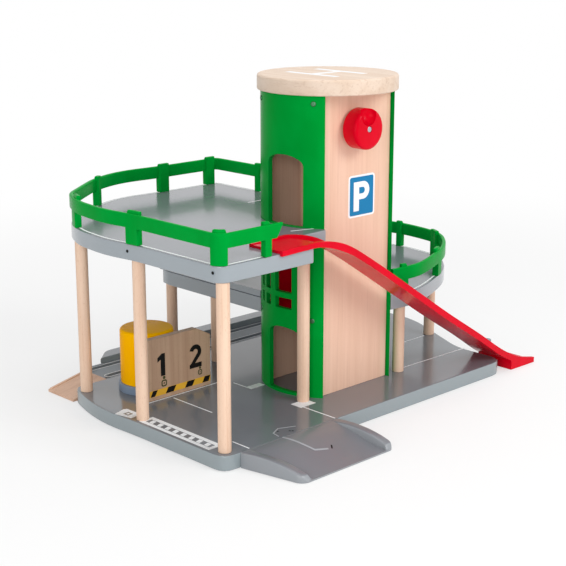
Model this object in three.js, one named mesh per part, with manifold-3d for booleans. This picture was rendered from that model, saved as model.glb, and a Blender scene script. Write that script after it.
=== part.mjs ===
// Toy parking garage with a lift: two decks round a lift tower, on a base board with a rail track
// Millimetres, +Z up, +X toward the slide's foot, +Y to the back
// The origin is the lift tower's axis at the underside of the base board

import * as THREE from 'three';
import { mergeVertices } from 'three/addons/utils/BufferGeometryUtils.js';
import Module from 'manifold-3d';

const wasm = await Module();
wasm.setup();

// Shared clearances
const overrun = 5;
const gap = 0.3;
const seatGap = 0.1;
const edgeRound = 1.2;

// Side counts of round forms
const towerSides = 96;
const roofSides = 72;
const carSides = 64;
const discSides = 40;
const boreSides = 32;
const pinSides = 20;
const eyeSides = 12;
const grooveEndSides = 16;

// Storeys, from the floor up
const baseT = 13.3;
const groundClear = 64.7;
const deckT = 14;
const midClear = 62.5;
const towerHead = 114.8;
const baseTop = baseT;
const midUnder = baseTop + groundClear;
const midTop = midUnder + deckT;
const upperUnder = midTop + midClear;
const upperTop = upperUnder + deckT;
const towerTop = upperTop + towerHead;

// Lift tower
const towerR = 60;
const shellT = 4.5;
const panelHalfWShare = 0.7333;
const panelFaceShare = 0.6;
const panelT = 6.5;
const roofR = 63;
const roofT = 14;
const roofEdge = 2.2;
const openingMid = -4.5;
const archHalfW = 20;
const archSpring = 54;
const archRise = 9;
const archSill = 0.7;
const groundArchHalfW = 18.5;
const groundArchSill = 2.7;
const groundArchSpring = 55;
const groundArchRise = 7.5;
const windowPaneHalfW = 9.6;
const windowMullion = 7;
const windowSidePaneW = 8;
const windowSideMullion = 4.2;
const windowEdgePaneW = 4;
const windowSill = 1;
const windowLowerPaneH = 9.7;
const windowBarH = 5.1;
const windowUpperPaneH = 37;
const panelHalfW = towerR * panelHalfWShare;
const panelFace = towerR * panelFaceShare;
const panelInner = panelFace - panelT;
const shellInnerR = towerR - shellT;
const shellEndY = Math.sqrt(towerR ** 2 - (panelHalfW + gap) ** 2);

// The slide's top passes in front of the tower and its near rim hangs over the upper deck's front
const slideTopW = 39.5;
const slideTowerGap = 4.53;
const slideRimW = 3;
const slideNear = shellEndY + slideTowerGap + slideTopW;

// Base board: how far it reaches from the tower's axis, and its outline as shares of that
const baseReach = { left: 204, right: 211, front: slideNear, back: 197 };
const baseOutlineShares = [
  [-0.990, -1, 0.11], [0.782, -1, 0.34], [0.773, -0.33, 0.3], [0.882, 0.11, 0.4],
  [0.972, 0.305, 0.5], [1, 0.48, 0.5], [0.962, 0.66, 0.5], [0.853, 0.83, 0.5],
  [0.678, 0.95, 0.5], [0.474, 1, 0.4], [-0.539, 1, 0.3], [-0.622, 0.915, 0.2],
  [-0.882, 0.715, 0.3], [-0.926, 0.68, 0.5], [-0.975, 0.52, 0.5], [-1, 0.35, 0.5],
  [-0.990, 0.15, 0.3],
];

// Rail track let into the back of the base, with a ramp up from the floor
const trackW = 40;
const kerbW = 19;
const trackMid = baseReach.back - kerbW - trackW / 2;
const trackT = 8;
const trackLeft = 190;
const trackSlotStart = 125;
const rampTipT = 2.4;
const rampCrest = 138;
const grooveW = 6;
const grooveDepth = 3;
const grooveSpread = 13;
const grooveStart = 144;
const kerbH = 5.7;
const kerbInset = 1.6;
const trackNear = trackMid - trackW / 2;
const trackFar = trackMid + trackW / 2;

// Front ramp from the floor up to the base
const rampRun = 59;
const rampTopLeft = 184;
const rampTopRight = 70.5;
const rampFootLeft = 171.6;
const rampFootRight = 63.7;
const rampNose = 1.2;
const rampKerbW = 10;
const rampKerbFootH = 5;
const rampKerbCrownShare = 0.35;
const rampBedCrownShare = 0.3;
const rampBedFootShare = 0.4;
const rampBedRise = 3.6;
const rampCornerShare = 0.12;

// Upper deck
const upperReach = { left: 206, right: 38, front: slideNear - slideRimW, back: 200 };
const notchXShare = 0.476;
const notchYShare = 0.538;
const upperOutlineShares = [
  [-0.945, -1, 0.5], [-notchXShare, -1, 0.05], [-notchXShare, -notchYShare, 0.05],
  [-0.22, -notchYShare, 0.05],
  [-0.1, 0, 0], [1, 0, 0],
  [1, 0.98, 0.1], [-0.2, 0.98, 0.3], [-0.408, 1, 0.5], [-0.607, 0.925, 0.5],
  [-0.893, 0.70, 0.3], [-0.971, 0.54, 0.5], [-1, 0.30, 0.5], [-0.976, 0.13, 0.2],
  [-0.976, -0.92, 0.5],
];

// Mid deck
const midFrontProud = 2.53;
const midLeftProud = 2.5;
const midReach = { left: panelHalfW + midLeftProud, right: 211, front: shellEndY + midFrontProud, back: 194 };
const midOutlineShares = [
  [-1, 0, 0], [0.1, 0, 0], [0.213, -0.95, 0.05], [0.30, -1, 0.5], [0.38, -1, 0.5],
  [0.464, -0.88, 0.5], [0.573, -0.67, 0.5], [0.706, -0.38, 0.5], [0.816, -0.01, 0.5],
  [0.916, 0.107, 0.5], [0.96, 0.193, 0.5], [0.979, 0.304, 0.5], [0.99, 0.433, 0.5],
  [0.978, 0.54, 0.5], [0.942, 0.67, 0.5], [0.872, 0.80, 0.5], [0.758, 0.907, 0.5],
  [0.616, 0.974, 0.5], [0.464, 1, 0.3], [-1, 1, 0.15],
];
const deckKerbW = 5;
const deckKerbH = 6;

// Wood dowel posts
const postR = 5.5;
const postSides = 20;
const postChamfer = 0.6;
const frontPostInset = { x: 14.2, y: 7.1 };
const sidePostInset = 12.7;
const sidePostY = 29.8;
const towerPostGap = 3.65;
const towerPostAngle = -152.25;
const rightPostGap = 6.66;
const rightPostAngle = -29.2;
const leftRearPostXShare = 0.896;
const leftRearPostYShare = 0.6175;
const rearRightPostXShare = 0.841;
const rearRightPostYShare = 0.1165;
const midBackPostShare = 0.667;
const midLeftPostShare = 0.557;
const midLeftPostInset = 0.5;
const frontPost = { x: -upperReach.left + frontPostInset.x, y: -upperReach.front + frontPostInset.y };
const sidePost = { x: -upperReach.left + sidePostInset, y: sidePostY };
const leftRearPost = { x: -upperReach.left * leftRearPostXShare, y: upperReach.back * leftRearPostYShare };
const towerPost = besideTower(towerPostGap, towerPostAngle);
const rightPost = besideTower(rightPostGap, rightPostAngle);
const rearRightPost = { x: midReach.right * rearRightPostXShare, y: midReach.back * rearRightPostYShare };
const midBackPost = { x: -midReach.left * midBackPostShare, y: baseReach.back - kerbW / 2 };
const midLeftPost = { x: -midReach.left + postR + midLeftPostInset, y: midReach.back * midLeftPostShare };

// A post's place beside the tower, from its gap to the shell and its turn in degrees from +X
function besideTower(postGap, turn) {
  const distance = towerR + postR + postGap;
  const angle = THREE.MathUtils.degToRad(turn);
  return { x: distance * Math.cos(angle), y: distance * Math.sin(angle) };
}

// Lift car and its guides
const guideW = 8;
const guideT = 3;
const guideTopBelowCrank = 16;
const carFloorT = 3.2;
const carWallT = 5;
const carWallEndGap = 3;
const carWallH = 52;
const carWallEase = 10;
const carWallLen = 2 * (panelHalfW - carWallEndGap);
const carRunGap = 0.4;
const carEndGap = 1;
const hangerW = 10;
const hangerT = 3;
const hangerLugH = 7;
const hangerLugT = 3;
const hangerEyeR = 1.6;

// Crank: knob, shaft and cord spool
const crankX = -3.2;
const crankBelowRoof = 30.8;
const shaftR = 3;
const bushR = 5.5;
const bushFlangeR = 8;
const bushFlangeT = 1.5;
const rearBushT = 4.5;
const knobR = 18;
const knobT = 17;
const knobEdge = 3;
const knobStandoff = 1.5;
const knobDishR = 8.5;
const knobDishDepth = 4.5;
const knobDishOffset = 10.5;
const knobScrewR = 2.6;
const knobScrewT = 1.4;
const knobScrewSink = 0.35;
const spoolCoreR = 10.5;
const spoolFlangeR = 13;
const spoolFlangeT = 2;
const spoolW = 22;
const crankZ = towerTop - crankBelowRoof;

// Railings: each post is a thicker stretch of the band that reaches the deck
const railT = 3.8;
const railPostT = 6.2;
const railPostDraft = 0.5;
const railPostRise = 2.4;
const railCapSetback = 2.2;
const railBead = 1.4;
const railStep = 12;
const railCutSlope = 0.6;
const upperRail = { top: 25.8, bandH: 11.8, inset: -0.8 };
const midRail = { top: 25, bandH: 12.2, inset: -0.8 };
const straightShare = 0.001;
const bendShare = 0.5;
const railEndShares = {
  upperStart: [-0.665, -1], upperEnd: [1, 0.33],
  midStart: [0.222, -0.955], midEnd: [0.3, 1],
};
const wideRailPost = 14;
const midRailPost = 12;
const slimRailPost = 7;
const upperRailPostShares = [
  [-0.728, -1, slimRailPost], [-0.965, -0.955, wideRailPost], [-0.976, 0.135, wideRailPost],
  [-0.947, 0.59, midRailPost], [-0.607, 0.925, slimRailPost], [-0.165, 0.98, midRailPost],
  [0.7, 0.98, midRailPost], [1, 0.645, slimRailPost], [1, 0.35, slimRailPost],
];
const midRailPostShares = [
  [0.294, -1, slimRailPost], [0.65, -0.5, midRailPost], [0.943, 0.17, wideRailPost],
  [0.99, 0.464, slimRailPost], [0.93, 0.71, slimRailPost], [0.65, 0.96, midRailPost],
  [0.33, 1, slimRailPost],
];

// Slide
const slideMidW = 35;
const slideFootW = 48;
const slideStart = 137;
const slideDeckEnd = upperReach.left * notchXShare - gap;
const slideSteps = 42;
const slideFlareShare = 0.8;
const slideNeckStartShare = 0.1;
const slideNeckEndShare = 0.3;
const slideFootSpread = 1;
const slideEnd = 213;
const slideRimH = 7;
const slideFloorT = 2.2;
const slideFootStart = 175.8;
const slideLipH = 2.9;
const slideCrestH = 3.7;
const slideBrowH = 3.4;
const slideCrestX = 110;
const slideBrowX = 91;
const slideTipH = 5.2;
const slideFallPoints = [
  [-64.5, 165.8], [-33, 148.5], [34, 105.1], [77, 77.1], [123, 48.5], [155, 27.7],
  [173, 17.7], [190, 10.6],
];
const slideRimTopPoints = [
  [-slideStart, upperTop + slideLipH], [-slideCrestX, upperTop + slideCrestH],
  [-slideBrowX, upperTop + slideBrowH], ...slideFallPoints, [slideEnd, slideTipH],
];

// Bay divider, drum and foot peg
const dividerLeft = 163;
const dividerRight = 91;
const dividerY = 62.5;
const dividerT = 7;
const dividerH = 57;
const dividerCutW = 16;
const dividerCutH = 8.5;
const drumX = -137.7;
const drumY = 93.2;
const drumR = 24.5;
const drumH = 50;
const drumEdge = 3;
const plinthR = 26.5;
const plinthH = 7.7;
const plinthEdge = 1;
const drumFootEdge = 0.5;
const footPegR = 4;
const footPegH = 14.6;
const footPegX = 203;

// Colours
const woodColor = 0xe6c3a0;
const postColor = 0xf0d4b4;
const greenColor = 0x009839;
const deckColor = 0x969ca3;
const baseColor = 0x757b80;
const redColor = 0xe1001e;
const yellowColor = 0xfab900;
const steelColor = 0xb4b8bc;
const plinthColor = 0x7f8fa3;

const wood = () => new THREE.MeshStandardMaterial({ color: woodColor, roughness: 0.6, metalness: 0 });
const dowelWood = () => new THREE.MeshStandardMaterial({ color: postColor, roughness: 0.6, metalness: 0 });
const green = () => new THREE.MeshStandardMaterial({ color: greenColor, roughness: 0.3, metalness: 0 });
const deckGrey = () => new THREE.MeshStandardMaterial({ color: deckColor, roughness: 0.35, metalness: 0 });
const baseGrey = () => new THREE.MeshStandardMaterial({ color: baseColor, roughness: 0.4, metalness: 0 });
const red = () => new THREE.MeshStandardMaterial({ color: redColor, roughness: 0.3, metalness: 0 });
const yellow = () => new THREE.MeshStandardMaterial({ color: yellowColor, roughness: 0.4, metalness: 0 });
const steel = () => new THREE.MeshStandardMaterial({ color: steelColor, roughness: 0.35, metalness: 1 });
const plinthBlue = () => new THREE.MeshStandardMaterial({ color: plinthColor, roughness: 0.5, metalness: 0 });

const garage = new THREE.Group();

function addMesh(name, geometry, material) {
  const mesh = new THREE.Mesh(geometry, material);
  mesh.name = name;
  garage.add(mesh);
  return mesh;
}

// Solids: a closed geometry becomes a solid that can be cut and joined, and back again
function solid(geometry) {
  const bare = geometry.clone();
  bare.deleteAttribute('normal');
  bare.deleteAttribute('uv');
  const merged = mergeVertices(bare);
  const position = merged.attributes.position;
  const triangles = [];
  let volume = 0;
  for (let i = 0; i < merged.index.count; i += 3) {
    const [a, b, c] = [0, 1, 2].map((k) => merged.index.getX(i + k));
    if (a === b || b === c || c === a) continue;
    triangles.push(a, b, c);
    const [p, q, r] = [a, b, c].map((k) => new THREE.Vector3().fromBufferAttribute(position, k));
    volume += p.dot(q.cross(r));
  }
  if (volume < 0) triangles.reverse();
  const mesh = new wasm.Mesh({
    numProp: 3,
    vertProperties: new Float32Array(position.array),
    triVerts: new Uint32Array(triangles),
  });
  return new wasm.Manifold(mesh);
}

function geometryOf(manifold) {
  const mesh = manifold.getMesh();
  const geometry = new THREE.BufferGeometry();
  geometry.setAttribute('position', new THREE.BufferAttribute(new Float32Array(mesh.vertProperties), 3));
  geometry.setIndex(new THREE.BufferAttribute(new Uint32Array(mesh.triVerts), 1));
  geometry.computeVertexNormals();
  return geometry;
}

function box(x0, x1, y0, y1, z0, z1) {
  const geometry = new THREE.BoxGeometry(x1 - x0, y1 - y0, z1 - z0);
  geometry.translate((x0 + x1) / 2, (y0 + y1) / 2, (z0 + z1) / 2);
  return solid(geometry);
}

// An upright revolve of a profile of [radius, height] points
function revolve(profile, sides) {
  const points = profile.map(([r, z]) => new THREE.Vector2(r, z));
  const geometry = new THREE.LatheGeometry(points, sides);
  geometry.rotateX(Math.PI / 2);
  return geometry;
}

// A disc's profile with quarter rounds of the given sizes at its bottom and top edges
function discProfile(r, z0, z1, bottomRound, topRound, steps = 3) {
  const profile = [[0, z0]];
  for (let i = 0; i <= steps; i += 1) {
    const a = (i / steps) * (Math.PI / 2);
    profile.push([r - bottomRound + bottomRound * Math.sin(a), z0 + bottomRound - bottomRound * Math.cos(a)]);
  }
  for (let i = 0; i <= steps; i += 1) {
    const a = (i / steps) * (Math.PI / 2);
    profile.push([r - topRound + topRound * Math.cos(a), z1 - topRound + topRound * Math.sin(a)]);
  }
  profile.push([0, z1]);
  return profile;
}

// A revolve about an axis along Y: heights along the profile run toward -Y from the given place
function revolveAlongY(profile, sides, x, y, z) {
  const geometry = revolve(profile, sides);
  geometry.rotateX(Math.PI / 2);
  geometry.translate(x, y, z);
  return geometry;
}

// Outline corners from shares of a reach; each is rounded by a share of its shorter edge
function cornersOf(shares, reach) {
  return shares.map(([sx, sy, round]) => ({
    x: sx * (sx < 0 ? reach.left : reach.right),
    y: sy * (sy < 0 ? reach.front : reach.back),
    round,
  }));
}

function outlineOf(shares, reach, steps = 4) {
  const corners = cornersOf(shares, reach);
  const points = [];
  corners.forEach((corner, i) => {
    const before = corners[(i + corners.length - 1) % corners.length];
    const after = corners[(i + 1) % corners.length];
    const toBefore = new THREE.Vector2(before.x - corner.x, before.y - corner.y);
    const toAfter = new THREE.Vector2(after.x - corner.x, after.y - corner.y);
    const cut = corner.round * Math.min(toBefore.length(), toAfter.length());
    const here = new THREE.Vector2(corner.x, corner.y);
    if (cut <= 0) {
      points.push(here);
      return;
    }
    const start = here.clone().addScaledVector(toBefore.normalize(), cut);
    const end = here.clone().addScaledVector(toAfter.normalize(), cut);
    const curve = new THREE.QuadraticBezierCurve(start, here, end);
    curve.getPoints(steps).forEach((point) => {
      const last = points[points.length - 1];
      if (!last || last.distanceTo(point) > gap) points.push(point);
    });
  });
  if (points[0].distanceTo(points[points.length - 1]) < gap) points.pop();
  return points;
}

// A plate on an outline, from z0 to z1, with its top and bottom edges eased
function plate(points, z0, z1, ease = 0) {
  const shape = new THREE.Shape(points);
  const geometry = new THREE.ExtrudeGeometry(shape, {
    depth: z1 - z0 - 2 * ease,
    bevelEnabled: ease > 0,
    bevelThickness: ease,
    bevelSize: ease,
    bevelOffset: -ease,
    bevelSegments: 2,
    steps: 1,
  });
  geometry.translate(0, 0, z0 + ease);
  return geometry;
}

// A profile in the (x, z) plane run from y0 to y1
function alongY(points, y0, y1) {
  const shape = new THREE.Shape(points);
  const geometry = new THREE.ExtrudeGeometry(shape, { depth: y1 - y0, bevelEnabled: false });
  geometry.rotateX(Math.PI / 2);
  geometry.translate(0, y1, 0);
  return solid(geometry);
}

// A profile in the (y, z) plane run from x0 to x1
function alongX(points, x0, x1) {
  const shape = new THREE.Shape(points);
  const geometry = new THREE.ExtrudeGeometry(shape, { depth: x1 - x0, bevelEnabled: false });
  const toX = new THREE.Matrix4().makeBasis(
    new THREE.Vector3(0, 1, 0),
    new THREE.Vector3(0, 0, 1),
    new THREE.Vector3(1, 0, 0),
  );
  geometry.applyMatrix4(toX);
  geometry.translate(x0, 0, 0);
  return solid(geometry);
}

// A closed body through rings of equal point counts, with flat ends
function loft(rings) {
  const count = rings[0].length;
  const positions = rings.flat().flatMap((p) => [p.x, p.y, p.z]);
  const index = [];
  for (let i = 0; i < rings.length - 1; i += 1) {
    for (let j = 0; j < count; j += 1) {
      const a = i * count + j;
      const b = i * count + ((j + 1) % count);
      index.push(a, b, a + count, b, b + count, a + count);
    }
  }
  const flat = (ring) => {
    const normal = new THREE.Vector3();
    const middle = ring.reduce((sum, p) => sum.add(p), new THREE.Vector3()).divideScalar(count);
    ring.forEach((p, j) => {
      const q = ring[(j + 1) % count];
      normal.add(new THREE.Vector3().subVectors(p, middle).cross(new THREE.Vector3().subVectors(q, middle)));
    });
    normal.normalize();
    const u = new THREE.Vector3().subVectors(ring[1], ring[0]).normalize();
    const v = new THREE.Vector3().crossVectors(normal, u);
    return ring.map((p) => {
      const d = new THREE.Vector3().subVectors(p, middle);
      return new THREE.Vector2(d.dot(u), d.dot(v));
    });
  };
  const capStart = THREE.ShapeUtils.triangulateShape(flat(rings[0]), []);
  const capEnd = THREE.ShapeUtils.triangulateShape(flat(rings[rings.length - 1]), []);
  capStart.forEach(([a, b, c]) => index.push(a, c, b));
  const last = (rings.length - 1) * count;
  capEnd.forEach(([a, b, c]) => index.push(last + a, last + b, last + c));
  const geometry = new THREE.BufferGeometry();
  geometry.setAttribute('position', new THREE.Float32BufferAttribute(positions, 3));
  geometry.setIndex(index);
  return solid(geometry);
}

// The tower's outer form: round, cut flat in front, with the back panel's recess between the shells
function towerPlan(grow, z0, z1) {
  const round = solid(plate(circlePoints(towerR + grow, towerSides), z0, z1));
  const reach = towerR + grow + overrun;
  const recessHalf = panelHalfW + gap - grow;
  return round
    .intersect(box(-reach, reach, -shellEndY - grow, shellEndY + grow, z0 - overrun, z1 + overrun))
    .subtract(box(-recessHalf, recessHalf, panelFace + grow, reach, z0 - overrun, z1 + overrun));
}

function circlePoints(r, sides) {
  const points = [];
  for (let i = 0; i < sides; i += 1) {
    const a = (i / sides) * 2 * Math.PI;
    points.push(new THREE.Vector2(r * Math.cos(a), r * Math.sin(a)));
  }
  return points;
}

function rod(x, y, r, z0, z1, sides) {
  const geometry = new THREE.CylinderGeometry(r, r, z1 - z0, sides);
  geometry.rotateX(Math.PI / 2);
  geometry.translate(x, y, (z0 + z1) / 2);
  return solid(geometry);
}

function rodAlongY(x, z, r, y0, y1, sides) {
  const geometry = new THREE.CylinderGeometry(r, r, y1 - y0, sides);
  geometry.translate(x, (y0 + y1) / 2, z);
  return solid(geometry);
}

// An arched opening in the (y, z) plane
function archPoints(mid, halfW, sill, spring, rise, steps = 14) {
  const points = [new THREE.Vector2(mid - halfW, sill), new THREE.Vector2(mid + halfW, sill)];
  for (let i = 0; i <= steps; i += 1) {
    const a = (i / steps) * Math.PI;
    points.push(new THREE.Vector2(mid + halfW * Math.cos(a), spring + rise * Math.sin(a)));
  }
  return points;
}

// Base board, track and kerb

const baseOutline = outlineOf(baseOutlineShares, baseReach);

function baseBoard() {
  const slot = box(-trackSlotStart - gap, baseReach.right + overrun, trackNear - gap, trackFar + gap,
    baseTop - trackT, baseTop + overrun);
  const rampSlot = box(-baseReach.left - overrun, -trackSlotStart + gap, trackNear - gap, trackFar + gap,
    -overrun, baseTop + overrun);
  return solid(plate(baseOutline, 0, baseTop, edgeRound)).subtract(slot).subtract(rampSlot);
}

function trackStrip() {
  const profile = [
    [-trackLeft, 0], [-trackSlotStart, 0], [-trackSlotStart, baseTop - trackT],
    [baseReach.right, baseTop - trackT], [baseReach.right, baseTop],
    [-rampCrest, baseTop], [-trackLeft, rampTipT],
  ].map(([x, z]) => new THREE.Vector2(x, z));
  const inBase = solid(plate(baseOutline, -overrun, baseTop + overrun));
  const rampPart = box(-trackLeft - overrun, -trackSlotStart, trackNear - overrun, trackFar + overrun,
    -overrun, baseTop + overrun);
  let strip = alongY(profile, trackNear, trackFar).intersect(inBase.add(rampPart));
  for (const side of [-1, 1]) {
    const mid = trackMid + side * grooveSpread;
    const groove = box(-grooveStart, baseReach.right + overrun, mid - grooveW / 2, mid + grooveW / 2,
      baseTop - grooveDepth, baseTop + overrun);
    const end = rod(-grooveStart, mid, grooveW / 2, baseTop - grooveDepth, baseTop + overrun,
      grooveEndSides);
    strip = strip.subtract(groove.add(end));
  }
  return strip;
}

function backKerb() {
  const inset = outlineOf(baseOutlineShares, {
    left: baseReach.left + kerbInset,
    right: baseReach.right - kerbInset,
    front: baseReach.front,
    back: baseReach.back - kerbInset,
  });
  const behind = box(-baseReach.left, baseReach.right, trackFar + gap, baseReach.back + overrun,
    -overrun, baseTop + kerbH + overrun);
  return solid(plate(inset, baseTop, baseTop + kerbH, edgeRound)).intersect(behind);
}

addMesh('base_board', geometryOf(baseBoard()), baseGrey());
addMesh('track_strip', geometryOf(trackStrip()), wood());
addMesh('back_kerb', geometryOf(backKerb()), baseGrey());

// Front ramp: a sloping bed between two arched kerbs

function frontRamp() {
  const head = -baseReach.front - gap;
  const foot = head - rampRun;
  const xAt = (left, t) => {
    const top = left ? -rampTopLeft : -rampTopRight;
    const bottom = left ? -rampFootLeft : -rampFootRight;
    return top + (bottom - top) * t;
  };
  const corner = rampCornerShare;
  const plan = [
    new THREE.Vector2(xAt(true, 0), head),
    new THREE.Vector2(xAt(true, 1 - corner), foot + rampRun * corner),
    new THREE.Vector2(xAt(true, 1) + rampRun * corner, foot),
    new THREE.Vector2(xAt(false, 1) - rampRun * corner, foot),
    new THREE.Vector2(xAt(false, 1 - corner), foot + rampRun * corner),
    new THREE.Vector2(xAt(false, 0), head),
  ];
  const whole = solid(plate(plan, 0, baseTop + overrun));
  const bedCurve = new THREE.CubicBezierCurve(
    new THREE.Vector2(head, baseTop),
    new THREE.Vector2(head - rampRun * rampBedCrownShare, baseTop),
    new THREE.Vector2(foot + rampRun * rampBedFootShare, rampBedRise),
    new THREE.Vector2(foot, rampNose),
  );
  const bed = alongX(
    [new THREE.Vector2(foot, 0), new THREE.Vector2(head, 0), ...bedCurve.getPoints(8)],
    -rampTopLeft - overrun,
    -rampFootRight + overrun,
  );
  const kerbCurve = new THREE.CubicBezierCurve(
    new THREE.Vector2(head, baseTop),
    new THREE.Vector2(head - rampRun * rampKerbCrownShare, baseTop + rampNose),
    new THREE.Vector2(foot + rampRun * rampKerbCrownShare, baseTop),
    new THREE.Vector2(foot + rampNose, rampKerbFootH),
  );
  const kerb = alongX(
    [new THREE.Vector2(foot, 0), new THREE.Vector2(head, 0), ...kerbCurve.getPoints(10),
      new THREE.Vector2(foot, rampKerbFootH - rampNose)],
    -rampTopLeft - overrun,
    -rampFootRight + overrun,
  );
  const kerbStrip = (left) => {
    const inward = left ? rampKerbW : -rampKerbW;
    const outward = left ? -overrun : overrun;
    return solid(plate(orient([
      new THREE.Vector2(xAt(left, 0) + outward, head + gap),
      new THREE.Vector2(xAt(left, 0) + inward, head + gap),
      new THREE.Vector2(xAt(left, 1) + inward, foot - overrun),
      new THREE.Vector2(xAt(left, 1) + outward, foot - overrun),
    ]), -overrun, baseTop + 2 * overrun));
  };
  return whole.intersect(bed).add(whole.intersect(kerb).intersect(kerbStrip(true).add(kerbStrip(false))));
}

function orient(points) {
  return THREE.ShapeUtils.isClockWise(points) ? points.slice().reverse() : points;
}

addMesh('front_ramp', geometryOf(frontRamp()), baseGrey());

// Decks

const upperOutline = outlineOf(upperOutlineShares, upperReach);
const midOutline = outlineOf(midOutlineShares, midReach, 3);

addMesh('upper_deck', geometryOf(
  solid(plate(upperOutline, upperUnder, upperTop, edgeRound))
    .subtract(towerPlan(gap, upperUnder - overrun, upperTop + overrun)),
), deckGrey());

addMesh('mid_deck', geometryOf(
  solid(plate(midOutline, midUnder, midTop, edgeRound))
    .subtract(towerPlan(gap, midUnder - overrun, midTop + overrun)),
), deckGrey());

function midDeckKerb() {
  const strip = box(-midReach.left + edgeRound, -midReach.left + edgeRound + deckKerbW,
    shellEndY, midReach.back - edgeRound - deckKerbW, midTop, midTop + deckKerbH);
  return strip.subtract(towerPlan(gap, midTop - overrun, midTop + deckKerbH + overrun));
}

addMesh('mid_deck_kerb', geometryOf(midDeckKerb()), deckGrey());

// Dowel posts, with eased ends

function post(place, z0, z1) {
  const profile = [
    [0, z0], [postR - postChamfer, z0], [postR, z0 + postChamfer],
    [postR, z1 - postChamfer], [postR - postChamfer, z1], [0, z1],
  ];
  const geometry = revolve(profile, postSides);
  geometry.translate(place.x, place.y, 0);
  return geometryOf(solid(geometry));
}

addMesh('post_front', post(frontPost, baseTop, upperUnder), dowelWood());
addMesh('post_side', post(sidePost, baseTop, upperUnder), dowelWood());
addMesh('post_left_rear', post(leftRearPost, baseTop, upperUnder), dowelWood());
addMesh('post_tower', post(towerPost, baseTop, upperUnder), dowelWood());
addMesh('post_right', post(rightPost, baseTop, midUnder), dowelWood());
addMesh('post_rear_right', post(rearRightPost, baseTop, midUnder), dowelWood());
addMesh('post_mid_left', post(midLeftPost, baseTop, midUnder), dowelWood());
addMesh('post_mid_back', post(midBackPost, baseTop + kerbH, midUnder), dowelWood());

// Tower: wood front and back panels, curved shells left and right, a round roof

function shell(side) {
  const ring = solid(plate(circlePoints(towerR, towerSides), baseTop, towerTop))
    .subtract(solid(plate(circlePoints(shellInnerR, towerSides), baseTop - overrun, towerTop + overrun)));
  const x0 = side < 0 ? -towerR - overrun : panelHalfW + gap;
  const x1 = side < 0 ? -panelHalfW - gap : towerR + overrun;
  return ring.intersect(box(x0, x1, -towerR, towerR, baseTop - overrun, towerTop + overrun));
}

function cutArch(body, side, halfW, sill, spring, rise) {
  const points = archPoints(openingMid, halfW, sill, spring, rise);
  const x0 = side < 0 ? -towerR - overrun : 0;
  const x1 = side < 0 ? 0 : towerR + overrun;
  return body.subtract(alongX(points, x0, x1));
}

function windowCutters() {
  const sill = midTop + windowSill;
  const barBottom = sill + windowLowerPaneH;
  const barTop = barBottom + windowBarH;
  const top = barTop + windowUpperPaneH;
  const sideStart = windowPaneHalfW + windowMullion;
  const edgeStart = sideStart + windowSidePaneW + windowSideMullion;
  const columns = [[-windowPaneHalfW, windowPaneHalfW]];
  for (const side of [-1, 1]) {
    const sidePane = [side * sideStart, side * (sideStart + windowSidePaneW)];
    const edgePane = [side * edgeStart, side * (edgeStart + windowEdgePaneW)];
    columns.push(sidePane.sort((a, b) => a - b), edgePane.sort((a, b) => a - b));
  }
  return columns.flatMap(([y0, y1]) => [
    box(-towerR - overrun, 0, openingMid + y0, openingMid + y1, sill, barBottom),
    box(-towerR - overrun, 0, openingMid + y0, openingMid + y1, barTop, top),
  ]);
}

function leftShell() {
  let body = shell(-1);
  body = cutArch(body, -1, archHalfW, upperTop + archSill, upperTop + archSpring, archRise);
  body = cutArch(body, -1, groundArchHalfW, baseTop + groundArchSill, baseTop + groundArchSpring,
    groundArchRise);
  for (const cutter of windowCutters()) body = body.subtract(cutter);
  return body;
}

function rightShell() {
  return cutArch(shell(1), 1, archHalfW, midTop + archSill, midTop + archSpring, archRise);
}

function panel(side) {
  const outer = side * panelFace;
  const inner = side * panelInner;
  const y0 = Math.min(outer, inner);
  const y1 = Math.max(outer, inner);
  const body = box(-panelHalfW, panelHalfW, y0, y1, baseTop, towerTop);
  const bore = rodAlongY(crankX, crankZ, bushR + gap, y0 - overrun, y1 + overrun, boreSides);
  return side < 0 ? body.subtract(bore) : body;
}

addMesh('tower_left_shell', geometryOf(leftShell()), green());
addMesh('tower_right_shell', geometryOf(rightShell()), green());
addMesh('tower_front_panel', geometryOf(panel(-1)), wood());
addMesh('tower_back_panel', geometryOf(panel(1)), wood());
addMesh('roof_disc', geometryOf(solid(revolve(
  discProfile(roofR, towerTop, towerTop + roofT, roofEdge, roofEdge),
  roofSides,
))), wood());

// Guides on the panels' inner faces, which the car's channels run on

const guideTop = crankZ - guideTopBelowCrank;
addMesh('guide_front', geometryOf(box(-guideW / 2, guideW / 2, -panelInner, -panelInner + guideT,
  baseTop, guideTop)), wood());
addMesh('guide_back', geometryOf(box(-guideW / 2, guideW / 2, panelInner - guideT, panelInner,
  baseTop, guideTop)), wood());

// Lift car: floor rounded to the shaft, side walls with eased tops, and a channel for each guide

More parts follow.
